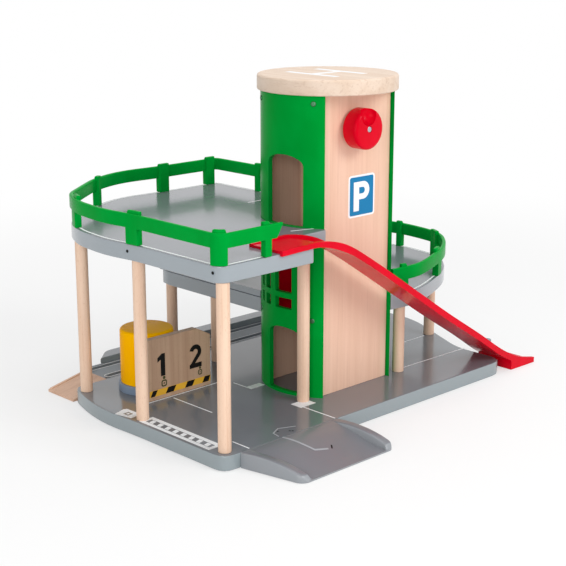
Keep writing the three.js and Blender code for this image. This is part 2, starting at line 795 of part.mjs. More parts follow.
function liftCar() {
  const faceY = panelInner - carRunGap;
  const floorR = shellInnerR - carEndGap;
  const floorZ = midTop - carFloorT;
  const disc = solid(plate(circlePoints(floorR, carSides), floorZ, midTop));
  const floor = disc.intersect(box(-floorR, floorR, -faceY, faceY, floorZ - overrun, midTop + overrun));
  const wallShape = [
    [-carWallLen / 2, floorZ], [carWallLen / 2, floorZ],
    [carWallLen / 2, midTop + carWallH - carWallEase], [carWallLen / 2 - carWallEase, midTop + carWallH],
    [-carWallLen / 2 + carWallEase, midTop + carWallH], [-carWallLen / 2, midTop + carWallH - carWallEase],
  ].map(([x, z]) => new THREE.Vector2(x, z));
  const walls = alongY(wallShape, -faceY, -faceY + carWallT).add(alongY(wallShape, faceY - carWallT, faceY));
  const channelHalf = guideW / 2 + carRunGap;
  const channelY = panelInner - guideT - carRunGap;
  const channels = box(-channelHalf, channelHalf, -faceY - overrun, -channelY, floorZ - overrun,
    midTop + carWallH + overrun).add(box(-channelHalf, channelHalf, channelY, faceY + overrun,
    floorZ - overrun, midTop + carWallH + overrun));
  return floor.add(walls).subtract(channels);
}

function liftHanger() {
  const top = midTop + carWallH + hangerT;
  const reachY = panelInner - guideT - carRunGap - gap;
  const bar = box(-hangerW / 2, hangerW / 2, -reachY, reachY, top - hangerT, top);
  const lug = box(-hangerW / 2, hangerW / 2, -hangerLugT / 2, hangerLugT / 2,
    top - hangerT, top + hangerLugH);
  const eye = rodAlongY(0, top + hangerLugH / 2, hangerEyeR, -hangerLugT, hangerLugT, eyeSides);
  return bar.add(lug).subtract(eye);
}

addMesh('lift_car', geometryOf(liftCar()), red());
addMesh('lift_hanger', geometryOf(liftHanger()), steel());

// Crank: the shaft runs through a bush in the front panel to a bush on the back panel

const shaftBack = panelInner - bushFlangeT;
const knobBack = -panelFace - knobStandoff;
const knobFront = knobBack - knobT;

function frontBush() {
  const sleeve = rodAlongY(crankX, crankZ, bushR, -panelFace, -panelInner, boreSides);
  const flange = rodAlongY(crankX, crankZ, bushFlangeR, -panelInner, -panelInner + bushFlangeT, boreSides);
  const bore = rodAlongY(crankX, crankZ, shaftR + gap, -panelFace - overrun, 0, boreSides);
  return sleeve.add(flange).subtract(bore);
}

function rearBush() {
  const flange = rodAlongY(crankX, crankZ, bushFlangeR, panelInner - rearBushT, panelInner, boreSides);
  const bore = rodAlongY(crankX, crankZ, shaftR + gap, 0, panelInner - bushFlangeT + gap, boreSides);
  return flange.subtract(bore);
}

function crankShaft() {
  return rodAlongY(crankX, crankZ, shaftR, knobFront + knobT / 2, shaftBack, boreSides);
}

function crankKnob() {
  const disc = solid(revolveAlongY(discProfile(knobR, 0, knobT, knobEdge, knobEdge), discSides,
    crankX, knobBack, crankZ));
  const sphere = new THREE.SphereGeometry(knobDishR, 16, 12);
  sphere.translate(crankX, knobFront - knobDishR + knobDishDepth, crankZ + knobDishOffset);
  const bore = rodAlongY(crankX, crankZ, shaftR + gap, knobFront + knobT / 2 - gap, overrun, boreSides);
  const screwSeat = rodAlongY(crankX, crankZ, knobScrewR + gap, knobFront - overrun,
    knobFront + knobScrewT, pinSides);
  return disc.subtract(solid(sphere)).subtract(bore).subtract(screwSeat);
}

function knobScrew() {
  return rodAlongY(crankX, crankZ, knobScrewR, knobFront + knobScrewSink,
    knobFront + knobScrewT - seatGap, pinSides);
}

function cordSpool() {
  const half = spoolW / 2;
  const core = rodAlongY(crankX, crankZ, spoolCoreR, -half, half, boreSides);
  const near = rodAlongY(crankX, crankZ, spoolFlangeR, -half, -half + spoolFlangeT, boreSides);
  const far = rodAlongY(crankX, crankZ, spoolFlangeR, half - spoolFlangeT, half, boreSides);
  const bore = rodAlongY(crankX, crankZ, shaftR + gap, -half - overrun, half + overrun, boreSides);
  return core.add(near).add(far).subtract(bore);
}

addMesh('front_bush', geometryOf(frontBush()), steel());
addMesh('rear_bush', geometryOf(rearBush()), steel());
addMesh('crank_shaft', geometryOf(crankShaft()), steel());
addMesh('crank_knob', geometryOf(crankKnob()), red());
addMesh('knob_screw', geometryOf(knobScrew()), steel());
addMesh('cord_spool', geometryOf(cordSpool()), wood());

// Railings: a beaded band along the deck's edge, thicker and reaching the deck at each post

// The stretch of a closed outline from one place to another, walked backwards or forwards
function stretch(outline, from, to, forward) {
  const dense = [];
  outline.forEach((p, i) => {
    const q = outline[(i + 1) % outline.length];
    const steps = Math.max(1, Math.round(p.distanceTo(q) / railStep));
    for (let k = 0; k < steps; k += 1) dense.push(p.clone().lerp(q, k / steps));
  });
  const nearest = (target) => {
    let best = 0;
    dense.forEach((p, i) => {
      if (p.distanceTo(target) < dense[best].distanceTo(target)) best = i;
    });
    return best;
  };
  const start = nearest(from);
  const end = nearest(to);
  const step = forward ? 1 : dense.length - 1;
  const run = [];
  for (let i = start; ; i = (i + step) % dense.length) {
    run.push(dense[i]);
    if (i === end) break;
  }
  return thin(run);
}

// Drops points that lie on the straight line between their neighbours
function thin(run) {
  return run.filter((p, i) => {
    if (i === 0 || i === run.length - 1) return true;
    const a = new THREE.Vector2().subVectors(p, run[i - 1]).normalize();
    const b = new THREE.Vector2().subVectors(run[i + 1], p).normalize();
    return Math.abs(a.cross(b)) > straightShare;
  });
}

function normalsOf(run, inwardSign) {
  return run.map((p, i) => {
    const before = run[Math.max(0, i - 1)];
    const after = run[Math.min(run.length - 1, i + 1)];
    const a = i > 0 ? new THREE.Vector2().subVectors(p, before).normalize() : null;
    const b = i < run.length - 1 ? new THREE.Vector2().subVectors(after, p).normalize() : null;
    const along = new THREE.Vector2();
    if (a) along.add(a);
    if (b) along.add(b);
    along.normalize();
    const normal = new THREE.Vector2(-along.y, along.x).multiplyScalar(inwardSign);
    const bend = a && b ? Math.max(bendShare, along.dot(b)) : 1;
    return normal.divideScalar(bend);
  });
}

// The length along a run at each of its points
function lengthsAlong(run) {
  const lengths = [0];
  for (let i = 1; i < run.length; i += 1) lengths.push(lengths[i - 1] + run[i].distanceTo(run[i - 1]));
  return lengths;
}

// The length along a run at its nearest point to a place
function lengthNear(run, lengths, place) {
  let best = 0;
  let bestDistance = Infinity;
  for (let i = 0; i < run.length - 1; i += 1) {
    const edge = new THREE.Vector2().subVectors(run[i + 1], run[i]);
    const t = THREE.MathUtils.clamp(place.clone().sub(run[i]).dot(edge) / edge.lengthSq(), 0, 1);
    const distance = run[i].clone().addScaledVector(edge, t).distanceTo(place);
    if (distance < bestDistance) {
      bestDistance = distance;
      best = THREE.MathUtils.lerp(lengths[i], lengths[i + 1], t);
    }
  }
  return best;
}

function railing(run, inwardSign, deckTop, rail, posts, slantStart) {
  const lengths = lengthsAlong(run);
  const normals = normalsOf(run, inwardSign);
  const runEnd = lengths[lengths.length - 1];
  const bandTop = deckTop + rail.top;
  const sectionOf = (isPost) => {
    const inner = rail.inset + (isPost ? railPostT : railT);
    const bottom = isPost ? deckTop : bandTop - rail.bandH;
    const top = isPost ? bandTop + railPostRise : bandTop;
    const ridge = rail.inset + railCapSetback;
    return [
      [rail.inset, bottom], [inner, bottom], [inner, top - railBead], [inner - railBead, top],
      [ridge, top], [ridge - seatGap, bandTop],
      [rail.inset + railBead, bandTop], [rail.inset, bandTop - railBead],
    ];
  };
  const spans = posts.map(([x, y, width]) => {
    const middle = lengthNear(run, lengths, new THREE.Vector2(x, y));
    return [Math.max(0, middle - width / 2), Math.min(runEnd, middle + width / 2)];
  });
  const stations = spans.flatMap(([from, to]) => [
    [from, false], [from + railPostDraft, true], [to - railPostDraft, true], [to, false],
  ]);
  lengths.forEach((s) => {
    const free = spans.every(([from, to]) => Math.abs(s - from) > railPostDraft * 2
      && Math.abs(s - to) > railPostDraft * 2);
    if (free) stations.push([s, spans.some(([from, to]) => s > from && s < to)]);
  });
  stations.sort((a, b) => a[0] - b[0]);
  const rings = stations.map(([s, isPost]) => {
    const i = Math.max(1, lengths.findIndex((length) => length >= s));
    const t = (s - lengths[i - 1]) / (lengths[i] - lengths[i - 1]);
    const place = run[i - 1].clone().lerp(run[i], t);
    const normal = normals[i - 1].clone().lerp(normals[i], t);
    const along = new THREE.Vector2().subVectors(run[i], run[i - 1]).normalize();
    const slant = s === 0 && slantStart ? railCutSlope : 0;
    return sectionOf(isPost).map(([off, z]) => {
      const at = place.clone().addScaledVector(normal, off).addScaledVector(along, (bandTop - z) * slant);
      return new THREE.Vector3(at.x, at.y, z);
    });
  });
  return loft(rings);
}

const placesOf = (shares, reach) => cornersOf(shares, reach).map((c, i) => [c.x, c.y, shares[i][2]]);
const placeOf = ([sx, sy], reach) => {
  const [corner] = cornersOf([[sx, sy, 0]], reach);
  return new THREE.Vector2(corner.x, corner.y);
};

const upperRun = stretch(upperOutline, placeOf(railEndShares.upperStart, upperReach),
  placeOf(railEndShares.upperEnd, upperReach), false);
addMesh('upper_railing', geometryOf(railing(upperRun, -1, upperTop, upperRail,
  placesOf(upperRailPostShares, upperReach), true)), green());

const midRun = stretch(midOutline, placeOf(railEndShares.midStart, midReach),
  placeOf(railEndShares.midEnd, midReach), true);
addMesh('mid_railing', geometryOf(
  railing(midRun, 1, midTop, midRail, placesOf(midRailPostShares, midReach), false)
    .subtract(towerPlan(gap, midTop - overrun, midTop + midRail.top + overrun)),
), green());

// Slide: a thin floor between two rims, lofted down from the upper deck to the floor

// The near and far edges, drawn in below the deck and flared at the foot
function slideEdgesAt(x) {
  const t = (x + slideStart) / (slideStart + slideEnd);
  const flare = THREE.MathUtils.smoothstep(t, slideFlareShare, 1);
  const neck = THREE.MathUtils.smoothstep(t, slideNeckStartShare, slideNeckEndShare);
  const width = THREE.MathUtils.lerp(THREE.MathUtils.lerp(slideTopW, slideMidW, neck), slideFootW, flare);
  const near = -slideNear - flare * slideFootSpread;
  return { near, far: near + width };
}

function slide() {
  const curve = new THREE.SplineCurve(slideRimTopPoints.map(([x, z]) => new THREE.Vector2(x, z)));
  const samples = curve.getPoints(300);
  const rimAt = (x) => {
    const i = Math.max(1, samples.findIndex((p) => p.x >= x));
    const [a, b] = [samples[i - 1], samples[i]];
    return THREE.MathUtils.mapLinear(x, a.x, b.x, a.y, b.y);
  };
  const length = slideStart + slideEnd;
  const stations = [-slideDeckEnd, -slideDeckEnd + slideFloorT, slideFootStart - gap, slideFootStart];
  for (let i = 0; i <= slideSteps; i += 1) stations.push(-slideStart + (length * i) / slideSteps);
  stations.sort((a, b) => a - b);
  const rings = stations.map((x) => {
    const rim = rimAt(x);
    const { near, far } = slideEdgesAt(x);
    const onFloor = x >= slideFootStart;
    const bottom = onFloor ? 0 : rim - slideRimH;
    const floorBottom = x <= -slideDeckEnd ? upperTop + seatGap : bottom;
    const floorTop = onFloor ? rim / 2 : floorBottom + slideFloorT;
    return [
      [near, bottom], [near + slideRimW, bottom], [near + slideRimW, floorBottom], [far, floorBottom],
      [far, rim], [far - slideRimW, rim], [far - slideRimW, Math.min(floorTop, rim - gap)],
      [near + slideRimW, Math.min(floorTop, rim - gap)], [near + slideRimW, rim], [near, rim],
    ].map(([y, z]) => new THREE.Vector3(x, y, z));
  });
  return loft(rings);
}

addMesh('slide', geometryOf(slide()), red());
addMesh('slide_foot_peg', geometryOf(rod(footPegX, slideEdgesAt(footPegX).far + footPegR + gap, footPegR,
  0, footPegH, pinSides)), deckGrey());

// Bay divider board with one sloped top corner

function divider() {
  const z1 = baseTop + dividerH;
  return alongY([
    new THREE.Vector2(-dividerLeft, baseTop), new THREE.Vector2(-dividerRight, baseTop),
    new THREE.Vector2(-dividerRight, z1 - dividerCutH), new THREE.Vector2(-dividerRight - dividerCutW, z1),
    new THREE.Vector2(-dividerLeft, z1),
  ], dividerY - dividerT / 2, dividerY + dividerT / 2);
}

addMesh('bay_divider', geometryOf(divider()), wood());

// Drum on its plinth

function turned(x, y, profile, sides) {
  const geometry = revolve(profile, sides);
  geometry.translate(x, y, 0);
  return geometryOf(solid(geometry));
}

addMesh('drum_plinth', turned(drumX, drumY,
  discProfile(plinthR, baseTop, baseTop + plinthH, drumFootEdge, plinthEdge, 2), discSides), plinthBlue());
addMesh('drum_body', turned(drumX, drumY,
  discProfile(drumR, baseTop + plinthH, baseTop + plinthH + drumH, drumFootEdge, drumEdge),
  discSides), yellow());

export default garage;
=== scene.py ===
# Looks for the toy parking garage: finer pieces, printed marks, materials, light and camera.
# Sizes are in millimetres until meshes turn them into metres, and a name in _DEG is an angle in degrees.
# The floor, the lamps and the camera at the end are in metres.

import math

import bmesh
import bpy
from mathutils import Matrix, Vector


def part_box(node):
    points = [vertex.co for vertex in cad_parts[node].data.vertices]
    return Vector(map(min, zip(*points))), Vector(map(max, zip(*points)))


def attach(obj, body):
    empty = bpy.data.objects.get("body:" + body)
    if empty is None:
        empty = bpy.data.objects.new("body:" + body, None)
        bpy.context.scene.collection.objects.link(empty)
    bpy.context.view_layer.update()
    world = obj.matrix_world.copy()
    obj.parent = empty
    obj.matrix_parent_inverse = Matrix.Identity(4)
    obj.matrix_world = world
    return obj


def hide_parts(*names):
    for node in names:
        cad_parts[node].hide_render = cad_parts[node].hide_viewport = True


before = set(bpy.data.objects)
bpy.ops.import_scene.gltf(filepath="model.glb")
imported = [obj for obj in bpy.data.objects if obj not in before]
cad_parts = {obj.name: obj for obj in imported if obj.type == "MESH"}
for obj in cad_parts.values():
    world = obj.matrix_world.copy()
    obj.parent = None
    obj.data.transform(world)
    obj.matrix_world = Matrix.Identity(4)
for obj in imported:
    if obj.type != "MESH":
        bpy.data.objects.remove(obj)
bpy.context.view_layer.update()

MM = 0.001
MARK_T = 0.2  # thickness of every printed mark, half of it above the face it is on
SHARP_DEG = 32  # edges that turn by more than this stay sharp
COLLECTION = bpy.context.scene.collection


# Materials

WHITE = (1.0, 1.0, 1.0, 1.0)
MIX_FACTOR, MIX_A, MIX_B, MIX_RESULT = 0, 6, 7, 2  # a colour mix node's sockets


def srgb(r, g, b):
    """A colour written in 0 to 255 as the linear one that shaders take."""
    def linear(c):
        c /= 255
        return c / 12.92 if c <= 0.04045 else ((c + 0.055) / 1.055) ** 2.4
    return (linear(r), linear(g), linear(b), 1.0)


class Finish:
    """A node material being built on one Principled shader, in the piece's own coordinates."""

    def __init__(self, name, **shader_values):
        self.data = bpy.data.materials.new(name)
        self.data.use_nodes = True
        self.tree = self.data.node_tree
        self.shader = self.tree.nodes["Principled BSDF"]
        for key, value in shader_values.items():
            self.shader.inputs[key.replace("_", " ")].default_value = value
        self.place = self.add("ShaderNodeTexCoord")

    def add(self, kind, inputs=None, **settings):
        node = self.tree.nodes.new(kind)
        for key, value in settings.items():
            setattr(node, key, value)
        for key, value in (inputs or {}).items():
            if isinstance(value, bpy.types.NodeSocket):
                self.tree.links.new(value, node.inputs[key])
            else:
                node.inputs[key].default_value = value
        return node

    def noise(self, sizes_mm, detail=2.0, roughness=0.5, twist=0.0):
        """Noise whose features are about sizes_mm long in x, y and z."""
        scale = [1 / (size * MM) for size in sizes_mm]
        mapping = self.add("ShaderNodeMapping", {"Vector": self.place.outputs["Object"], "Scale": scale})
        noise = self.add("ShaderNodeTexNoise", {
            "Vector": mapping.outputs["Vector"], "Scale": 1.0, "Detail": detail,
            "Roughness": roughness, "Distortion": twist,
        })
        return noise.outputs["Fac"]

    def steps(self, value, low, high, out_low=0.0, out_high=1.0):
        """A smooth step of a value from low to high."""
        node = self.add("ShaderNodeMapRange", {
            "Value": value, "From Min": low, "From Max": high, "To Min": out_low, "To Max": out_high,
        }, interpolation_type="SMOOTHSTEP")
        return node.outputs["Result"]

    def mix(self, factor, a, b, blend="MIX"):
        node = self.add("ShaderNodeMix", data_type="RGBA", blend_type=blend)
        for socket, value in ((MIX_FACTOR, factor), (MIX_A, a), (MIX_B, b)):
            if isinstance(value, bpy.types.NodeSocket):
                self.tree.links.new(value, node.inputs[socket])
            else:
                node.inputs[socket].default_value = value
        return node.outputs[MIX_RESULT]

    def use(self, **sockets):
        """Links values to the shader's sockets."""
        for key, value in sockets.items():
            self.tree.links.new(value, self.shader.inputs[key.replace("_", " ")])

    def bump(self, height, strength, distance_mm):
        node = self.add("ShaderNodeBump", {
            "Height": height, "Strength": strength, "Distance": distance_mm * MM,
        })
        self.use(Normal=node.outputs["Normal"])


WOOD_ROUGHNESS = 0.5
PAINT_BLUR = 0.4


def wood(name, pale, mid, dark, along, paint=None, paint_from=None):
    """Beech: soft bands and fine fibres along one axis, with short dark flecks, painted beyond one x."""
    finish = Finish(name, IOR=1.45, Coat_Weight=0.08, Coat_Roughness=0.4)

    def grain(across, length, *detail):
        """Noise that is drawn out along the wood's axis."""
        return finish.noise([length if axis == along else across for axis in "xyz"], *detail)

    bands = grain(9, 160, 2.0, 0.5, 0.35)
    tone = finish.mix(finish.steps(bands, 0.32, 0.68), pale, mid)
    rings = grain(2.2, 110, 3.0, 0.55, 0.25)
    tone = finish.mix(finish.steps(rings, 0.52, 0.72, 0.0, 0.42), tone, dark)
    flecks = grain(0.45, 3.2, 1.0)
    tone = finish.mix(finish.steps(flecks, 0.63, 0.72, 0.0, 0.45), tone, dark)
    fibres = grain(0.3, 24, 3.0, 0.6)
    tone = finish.mix(finish.steps(fibres, 0.3, 0.7, 0.0, 0.22), tone, pale)
    gloss = finish.steps(fibres, 0.2, 0.8, WOOD_ROUGHNESS + 0.07, WOOD_ROUGHNESS - 0.06)
    if paint_from is not None:
        place = finish.add("ShaderNodeSeparateXYZ", {"Vector": finish.place.outputs["Object"]})
        start, end = (paint_from - PAINT_BLUR) * MM, (paint_from + PAINT_BLUR) * MM
        tone = finish.mix(finish.steps(place.outputs["X"], start, end), tone, paint)
    finish.use(Base_Color=tone, Roughness=gloss)
    finish.bump(fibres, 0.16, 0.12)
    return finish.data


def lacquer(name, top, side, roughness):
    """Sprayed lacquer on board, darker on top than on the edge, that mirrors what stands on it."""
    finish = Finish(name, IOR=1.5, Coat_Weight=0.15, Coat_Roughness=0.06)
    facing = finish.add("ShaderNodeSeparateXYZ", {"Vector": finish.place.outputs["Normal"]})
    tone = finish.mix(finish.steps(facing.outputs["Z"], 0.55, 0.9), side, top)
    cloud = finish.noise((70, 70, 70), 2.0)
    tone = finish.mix(finish.steps(cloud, 0.3, 0.7, 0.0, 0.05), tone, WHITE, "SOFT_LIGHT")
    peel = finish.noise((2.6, 2.6, 2.6), 1.0)
    finish.use(Base_Color=tone, Roughness=finish.steps(cloud, 0.3, 0.7, roughness - 0.02, roughness + 0.03))
    finish.bump(peel, 0.03, 0.03)
    return finish.data


def plastic(name, colour, deep, roughness, specular=0.3, sheen=WHITE):
    """Moulded plastic: even colour that drifts a little, with a soft skin and a coloured shine."""
    finish = Finish(name, IOR=1.5, Specular_IOR_Level=specular, Specular_Tint=sheen)
    flow = finish.noise((30, 30, 45), 2.0, 0.5, 0.6)
    tone = finish.mix(finish.steps(flow, 0.3, 0.7), colour, deep)
    skin = finish.noise((2.4, 2.4, 2.4), 2.0)
    finish.use(Base_Color=tone, Roughness=finish.steps(flow, 0.3, 0.7, roughness + 0.04, roughness - 0.03))
    finish.bump(skin, 0.03, 0.04)
    return finish.data


def metal(name, colour, roughness):
    """Turned steel with faint scratches."""
    finish = Finish(name, Metallic=1.0)
    scratches = finish.noise((0.25, 3.0, 0.25), 2.0)
    tone = finish.mix(finish.steps(scratches, 0.35, 0.7, 0.0, 0.35), colour, srgb(110, 112, 116))
    finish.use(Base_Color=tone, Roughness=finish.steps(scratches, 0.3, 0.7, roughness, roughness + 0.15))
    finish.bump(scratches, 0.08, 0.03)
    return finish.data


def ink(name, colour, worn, roughness=0.45):
    """Screen-printed ink with a slight unevenness."""
    finish = Finish(name, IOR=1.45, Specular_IOR_Level=0.2)
    wear = finish.noise((0.9, 0.9, 0.9), 3.0, 0.6)
    tone = finish.mix(finish.steps(wear, 0.56, 0.8, 0.0, 0.55), colour, worn)
    finish.use(Base_Color=tone, Roughness=finish.steps(wear, 0.3, 0.7, roughness, roughness + 0.12))
    finish.bump(wear, 0.05, 0.03)
    return finish.data


PANEL_WOOD = wood("panel_wood", srgb(236, 198, 174), srgb(229, 189, 163), srgb(215, 171, 145), "z")
GUIDE_WOOD = wood("guide_wood", srgb(228, 192, 164), srgb(216, 178, 148), srgb(184, 140, 108), "z")
DIVIDER_WOOD = wood("divider_wood", srgb(188, 156, 130), srgb(176, 142, 116), srgb(146, 110, 86), "z")
ROOF_WOOD = wood("roof_wood", srgb(226, 205, 186), srgb(217, 192, 170), srgb(188, 154, 128), "y")
TRACK_PAINT, TRACK_PAINT_FROM = srgb(138, 145, 151), -148
TRACK_WOOD = wood("track_wood", srgb(222, 184, 158), srgb(208, 168, 140), srgb(170, 128, 104), "x",
                  TRACK_PAINT, TRACK_PAINT_FROM)
DOWEL_WOOD = wood("dowel_wood", srgb(236, 204, 179), srgb(229, 192, 165), srgb(202, 156, 124), "z")
BASE_LACQUER = lacquer("base_lacquer", srgb(116, 121, 127), srgb(142, 152, 156), 0.19)
DECK_LACQUER = lacquer("deck_lacquer", srgb(116, 119, 128), srgb(152, 160, 166), 0.17)
RAMP_LACQUER = lacquer("ramp_lacquer", srgb(120, 122, 128), srgb(142, 146, 151), 0.32)
GREY_PLASTIC = plastic("grey_plastic", srgb(150, 160, 166), srgb(140, 150, 157), 0.4)
PLINTH_PLASTIC = plastic("plinth_plastic", srgb(127, 143, 163), srgb(118, 134, 154), 0.42)
GREEN_PLASTIC = plastic("green_plastic", srgb(0, 156, 56), srgb(0, 148, 50), 0.22, 0.022,
                        srgb(60, 255, 140))
RED_PLASTIC = plastic("red_plastic", srgb(220, 0, 34), srgb(210, 0, 29), 0.2, 0.14, srgb(205, 150, 165))
YELLOW_PLASTIC = plastic("yellow_plastic", srgb(255, 190, 0), srgb(255, 180, 0), 0.3, 0.02,
                         srgb(255, 205, 60))
STEEL = metal("steel", srgb(196, 198, 202), 0.24)
GREEN_STEEL = metal("green_steel", srgb(70, 122, 84), 0.34)
WHITE_INK = ink("white_ink", srgb(244, 246, 248), srgb(216, 219, 223))
BLACK_INK = ink("black_ink", srgb(12, 11, 11), srgb(28, 26, 24))
YELLOW_INK = ink("yellow_ink", srgb(226, 172, 52), srgb(204, 152, 60))
BLUE_INK = ink("blue_ink", srgb(22, 124, 176), srgb(38, 136, 186), 0.35)
OLIVE_INK = ink("olive_ink", srgb(74, 76, 48), srgb(96, 92, 66))
GREY_INK = ink("grey_ink", srgb(170, 173, 178), srgb(152, 156, 162))

NODE_FINISH = {
    "base_board": BASE_LACQUER, "back_kerb": BASE_LACQUER, "front_ramp": RAMP_LACQUER,
    "track_strip": TRACK_WOOD, "upper_deck": DECK_LACQUER, "mid_deck": DECK_LACQUER,
    "mid_deck_kerb": DECK_LACQUER, "tower_left_shell": GREEN_PLASTIC,
    "tower_right_shell": GREEN_PLASTIC, "tower_front_panel": PANEL_WOOD,
    "tower_back_panel": PANEL_WOOD, "roof_disc": ROOF_WOOD, "guide_front": GUIDE_WOOD,
    "guide_back": GUIDE_WOOD, "lift_car": RED_PLASTIC, "lift_hanger": STEEL,
    "front_bush": STEEL, "rear_bush": STEEL, "crank_shaft": STEEL, "crank_knob": RED_PLASTIC,
    "knob_screw": STEEL, "cord_spool": GUIDE_WOOD, "upper_railing": GREEN_PLASTIC,
    "mid_railing": GREEN_PLASTIC, "slide": RED_PLASTIC, "slide_foot_peg": GREY_PLASTIC,
    "bay_divider": DIVIDER_WOOD, "drum_plinth": PLINTH_PLASTIC, "drum_body": YELLOW_PLASTIC,
}


def finish_for(node):
    return DOWEL_WOOD if node.startswith("post_") else NODE_FINISH[node]


# Making pieces

def piece(name, mesh, finish, body="garage", sharp_deg=SHARP_DEG):
    """A mesh becomes a named piece that rides on a body."""
    mesh.shade_smooth()
    mesh.set_sharp_from_angle(angle=math.radians(sharp_deg))
    made = bpy.data.objects.new(name, mesh)
    COLLECTION.objects.link(made)
    made.data.materials.clear()
    made.data.materials.append(finish)
    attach(made, body)
    return made


def mesh_of(points_mm, faces):
    """A mesh from points in millimetres, with its faces turned outward."""
    mesh = bpy.data.meshes.new("shape")
    mesh.from_pydata([[c * MM for c in point] for point in points_mm], [], faces)
    shape = bmesh.new()
    shape.from_mesh(mesh)
    bmesh.ops.recalc_face_normals(shape, faces=shape.faces)
    shape.to_mesh(mesh)
    shape.free()
    return mesh


def bevel(made, width_mm, segments, angle_deg):
    """Rounds the edges that turn by more than an angle."""
    modifier = made.modifiers.new("edges", "BEVEL")
    modifier.width = width_mm * MM
    modifier.segments = segments
    modifier.limit_method = "ANGLE"
    modifier.angle_limit = math.radians(angle_deg)
    modifier.harden_normals = True


def turned(profile, steps, x, y, z=0.0, along="z"):
    """A revolve of (radius, height) points, from axis to axis; along -y, height runs forward."""
    ring = profile[1:-1]
    points = []
    for radius, height in ring:
        for k in range(steps):
            a = 2 * math.pi * k / steps
            points.append((radius * math.cos(a), radius * math.sin(a), height))
    points += [(0, 0, profile[0][1]), (0, 0, profile[-1][1])]
    faces = []
    for i in range(len(ring) - 1):
        for k in range(steps):
            a, b = i * steps + k, i * steps + (k + 1) % steps
            faces.append((a, b, b + steps, a + steps))
    first, last = len(points) - 2, len(points) - 1
    top = (len(ring) - 1) * steps
    for k in range(steps):
        faces.append((first, (k + 1) % steps, k))
        faces.append((last, top + k, top + (k + 1) % steps))
    if along == "-y":
        points = [(px, -pz, py) for px, py, pz in points]
    return mesh_of([(px + x, py + y, pz + z) for px, py, pz in points], faces)


def plain_profile(radius, height):
    """A cylinder's (radius, height) points."""
    return [(0, 0), (radius, 0), (radius, height), (0, height)]


def disc_profile(radius, z0, z1, bottom_round, top_round, steps=6):
    """A disc's (radius, height) points with two rounded edges."""
    profile = [(0, z0)]
    for i in range(steps + 1):
        a = math.pi / 2 * i / steps
        profile.append((radius - bottom_round * (1 - math.sin(a)), z0 + bottom_round * (1 - math.cos(a))))
    for i in range(steps + 1):
        a = math.pi / 2 * i / steps
        profile.append((radius - top_round * (1 - math.cos(a)), z1 - top_round * (1 - math.sin(a))))
    profile.append((0, z1))
    return profile


def loft(rings):
    """A closed body through rings of equal point counts."""
    count = len(rings[0])
    points = [point for ring in rings for point in ring]
    last = (len(rings) - 1) * count
    faces = []
    for a in range(0, last, count):
        for j in range(count):
            k = (j + 1) % count
            faces.append((a + j, a + k, a + count + k, a + count + j))
    faces.append(tuple(range(count)))
    faces.append(tuple(last + j for j in reversed(range(count))))
    return mesh_of(points, faces)


def sides_of(path, sign):
    """Each point's sideways direction, longer at bends so that a strip keeps its width."""
    found = []
    for i, here in enumerate(path):
        before = (here - path[i - 1]).normalized() if i else None
        after = (path[i + 1] - here).normalized() if i < len(path) - 1 else None
        along = ((before or Vector((0, 0))) + (after or Vector((0, 0)))).normalized()
        bend = max(0.5, along.dot(after)) if before and after else 1.0
        found.append(Vector((-along.y, along.x)) * sign / bend)
    return found


def sweep(path, section, sign):
    """A section of (offset, height) points carried along a path."""
    return loft([[(place.x + side.x * off, place.y + side.y * off, z) for off, z in section]
                 for place, side in zip(path, sides_of(path, sign))])


def cut_outline(loops, thickness_mm):
    """A flat shape with holes from closed loops, as a thin plate about z = 0."""
    curve = bpy.data.curves.new("loops", "CURVE")
    curve.dimensions = "2D"
    curve.fill_mode = "BOTH"
    curve.extrude = thickness_mm * MM / 2
    for loop in loops:
        spline = curve.splines.new("POLY")
        spline.points.add(len(loop) - 1)
        for point, (x, y) in zip(spline.points, loop):
            point.co = (x * MM, y * MM, 0, 1)
        spline.use_cyclic_u = True
    holder = bpy.data.objects.new("loops", curve)
    COLLECTION.objects.link(holder)
    graph = bpy.context.evaluated_depsgraph_get()
    mesh = bpy.data.meshes.new_from_object(holder.evaluated_get(graph))
    bpy.data.objects.remove(holder)
    bpy.data.curves.remove(curve)
    return mesh


def mark_on_top(name, loops, z, finish):
    """Loops are (x, y) points on a face that looks up."""
    mesh = cut_outline(loops, MARK_T)
    mesh.transform(Matrix.Translation((0, 0, z * MM)))
    piece(name, mesh, finish)


def mark_on_front(name, loops, y, finish, lift=0.0):
    """Loops are (x, z) points on a face that looks along -y."""
    mesh = cut_outline(loops, MARK_T)
    mesh.transform(Matrix(((1, 0, 0, 0), (0, 0, -1, (y - lift) * MM), (0, 1, 0, 0), (0, 0, 0, 1))))
    piece(name, mesh, finish)


def rectangle(x0, x1, y0, y1):
    return [(x0, y0), (x1, y0), (x1, y1), (x0, y1)]


ROUND_STEPS = 6


def rounded(x0, x1, y0, y1, radius):
    """A rectangle with round corners."""
    loop = []
    for cx, cy, turn in ((x1 - radius, y1 - radius, 0), (x0 + radius, y1 - radius, 1),
                         (x0 + radius, y0 + radius, 2), (x1 - radius, y0 + radius, 3)):
        for i in range(ROUND_STEPS + 1):
            a = math.pi / 2 * (turn + i / ROUND_STEPS)
            loop.append((cx + radius * math.cos(a), cy + radius * math.sin(a)))
    return loop


def arc(cx, cy, radius, start_deg, end_deg, steps=16):
    angles = [math.radians(start_deg + (end_deg - start_deg) * i / steps) for i in range(steps + 1)]
    return [(cx + radius * math.cos(a), cy + radius * math.sin(a)) for a in angles]


def line(x0, y0, x1, y1, width):
    """The four corners of a straight stroke."""
    start, end = Vector((x0, y0)), Vector((x1, y1))
    side = (end - start).normalized().orthogonal() * width / 2
    return [tuple(p) for p in (start + side, end + side, end - side, start - side)]


